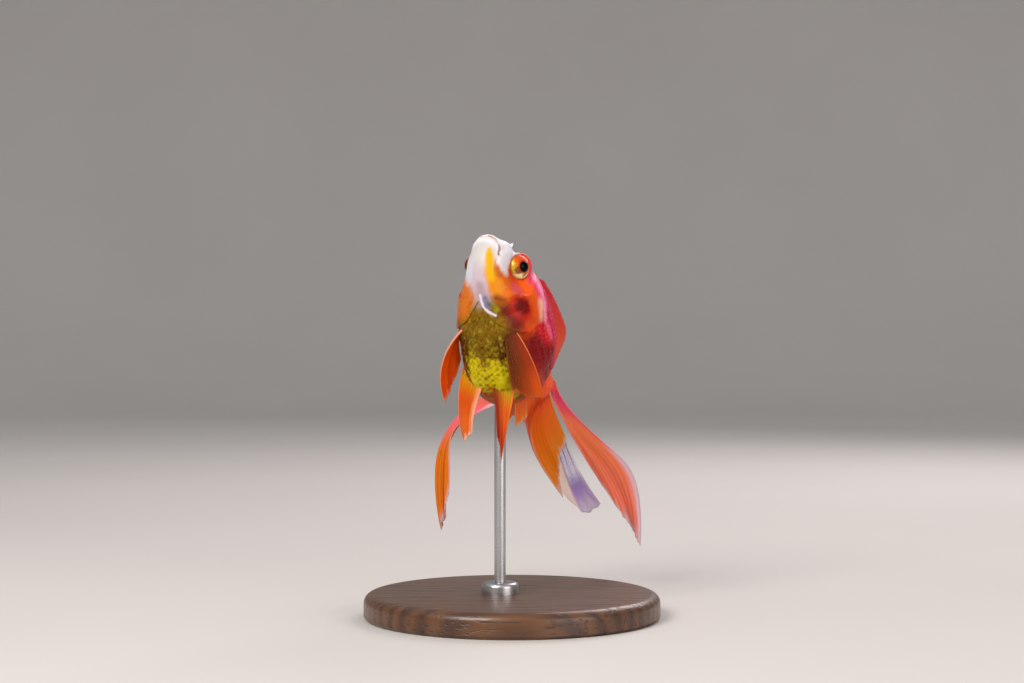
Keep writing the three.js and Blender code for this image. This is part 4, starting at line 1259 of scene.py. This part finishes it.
def fin_finish(name, fin):
    """Web and rays of one fin: tinted along its rays, with a pale clear margin, paler rays and a partly
    painted highlight along the leading side.
    """
    paint = Paint(f"{name}_web")
    place = paint.attribute("fin")
    s, v, ray = paint.parts(place)
    root, middle, tip, lead_highlight, margin = [colour(code) for code in fin.tints]
    fleck = paint.noise(paint.together(s * fin.rays * 1.3, v * 3.0), 1.0, 3.0)
    run = v + (fleck - 0.5) * 0.3
    tint = paint.mix(paint.step(run, *fin.turns[:2]), root, middle)
    tint = paint.mix(paint.step(run, *fin.turns[2:]), tint, tip)
    between = between_rays(paint, s, fin.rays) * (1 - ray)
    clear = 0.04 + fin.glassy * paint.step(v, 0.45, 0.58) * paint.step(v, 0.88, 0.72)
    if fin.trail:
        # The trailing side's tint: orange on the dorsal fin, dark red on the left pelvic fin, painted shade
        # on the left pectoral fin and a painted highlight on the right pelvic fin.
        trailing = paint.step(s + (fleck - 0.5) * 0.2, fin.trail[2], 0.95) * paint.step(v, 1.25, 0.85)
        tint = paint.mix(trailing * 0.9, tint, colour(fin.trail[0]))
        clear = clear + trailing * fin.trail[1]
    tint = paint.mix(between * 0.14, tint, paint.mix(v, colour("8a1804"), colour("c83c06")))
    tint = paint.mix(ray * 0.14 * paint.step(v, 0.0, 0.8), tint, colour("f4a878"))
    # The leading side takes the leading ray's tint, partly a painted highlight.
    tint = paint.mix(paint.step(s, 0.07, 0.0) * paint.step(v, 1.0, 0.2), tint, lead_highlight)
    if fin.pale:
        leading = paint.step(s + (fleck - 0.5) * 0.1, fin.pale, 0.02)
        tint = paint.mix(leading * paint.step(v, 0.4, 0.6), tint, margin)
    edge = paint.step(run, fin.margin, 1.0)
    for s_from, s_to, v_from, v_to, code in fin.bands:
        across = paint.step(s, s_from - 0.04, s_from + 0.04) * paint.step(s, s_to + 0.04, s_to - 0.04)
        share = across * paint.step(v, v_from - 0.08, v_from + 0.08) * paint.step(v, v_to + 0.08, v_to - 0.08)
        tint = paint.mix(share, tint, colour(code))
        clear = clear * (1 - share)
        edge = edge * (1 - share * 0.7)
    sides = paint.step(s, 0.94, 1.0).math("MAXIMUM", paint.step(s, 0.94, 1.0), paint.step(s, 0.03, 0.0) * 0.6)
    edge = edge.math("MAXIMUM", edge, sides * 0.7 * paint.step(v, 0.2, 0.6))
    tint = paint.mix(edge * 0.8, tint, margin)
    rooted = 1 - paint.step(run, 0.16, 0.02) * (1 - ray)
    paint.finish(
        Base_Color=tint,
        Alpha=rooted * (1 - (clear + fin.clear * edge) * (1 - ray * 0.6)),
        Roughness=0.36 + 0.2 * fleck,
        Specular_IOR_Level=0.14,
        Coat_Weight=0.07,
        Coat_Roughness=0.2,
        Subsurface_Weight=0.2,
        Subsurface_Radius=(1.0, 0.3, 0.12),
        Subsurface_Scale=0.001,
        Normal=paint.bump(paint.noise(place, 60.0, 2.0), 0.00003, 0.4),
    )
    return paint.material


def ray_tree():
    """A round bar along each chain of points, as thick as its points say."""
    work, (chains, sides, finish) = growth_tree("fin_rays", "Chains", {"Sides": RAY_SIDES}, "Rays")
    lines = work.node("GeometryNodeMeshToCurve", None, {0: chains})
    stout = work.node("GeometryNodeInputNamedAttribute", {"data_type": "FLOAT"}, {"Name": "stout"})
    ring = work.node("GeometryNodeCurvePrimitiveCircle", None, {"Resolution": sides, "Radius": 1.0})
    bars = work.node("GeometryNodeCurveToMesh", None,
                     {"Curve": lines, "Profile Curve": ring, "Scale": stout, "Fill Caps": True})
    return plain_and_finished(work, bars, finish)


ray_growth = ray_tree()
for name, fin in FINS.items():
    finish = fin_finish(name, fin)
    web_points, web_faces, web_places = fin.web()
    web = mesh_object(f"{name}_web", placed(web_points), web_faces, finish)
    point_values(web.data, "fin", web_places)
    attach(web, "root")
    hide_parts(name)

    chain_points, chain_edges, chain_sizes, chain_places = [], [], [], []
    for line, radius, where in fin.ray_lines():
        first = len(chain_points)
        chain_points += list(line)
        chain_edges += [(first + k, first + k + 1) for k in range(len(line) - 1)]
        chain_sizes += list(radius / 1000)
        chain_places += list(where)
    rays = bare_object(f"{name}_rays", placed(chain_points), chain_edges)
    point_values(rays.data, "stout", chain_sizes)
    point_values(rays.data, "fin", chain_places)
    grown(rays, ray_growth, {"Sides": RAY_SIDES, "Finish": finish})
    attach(rays, "root")
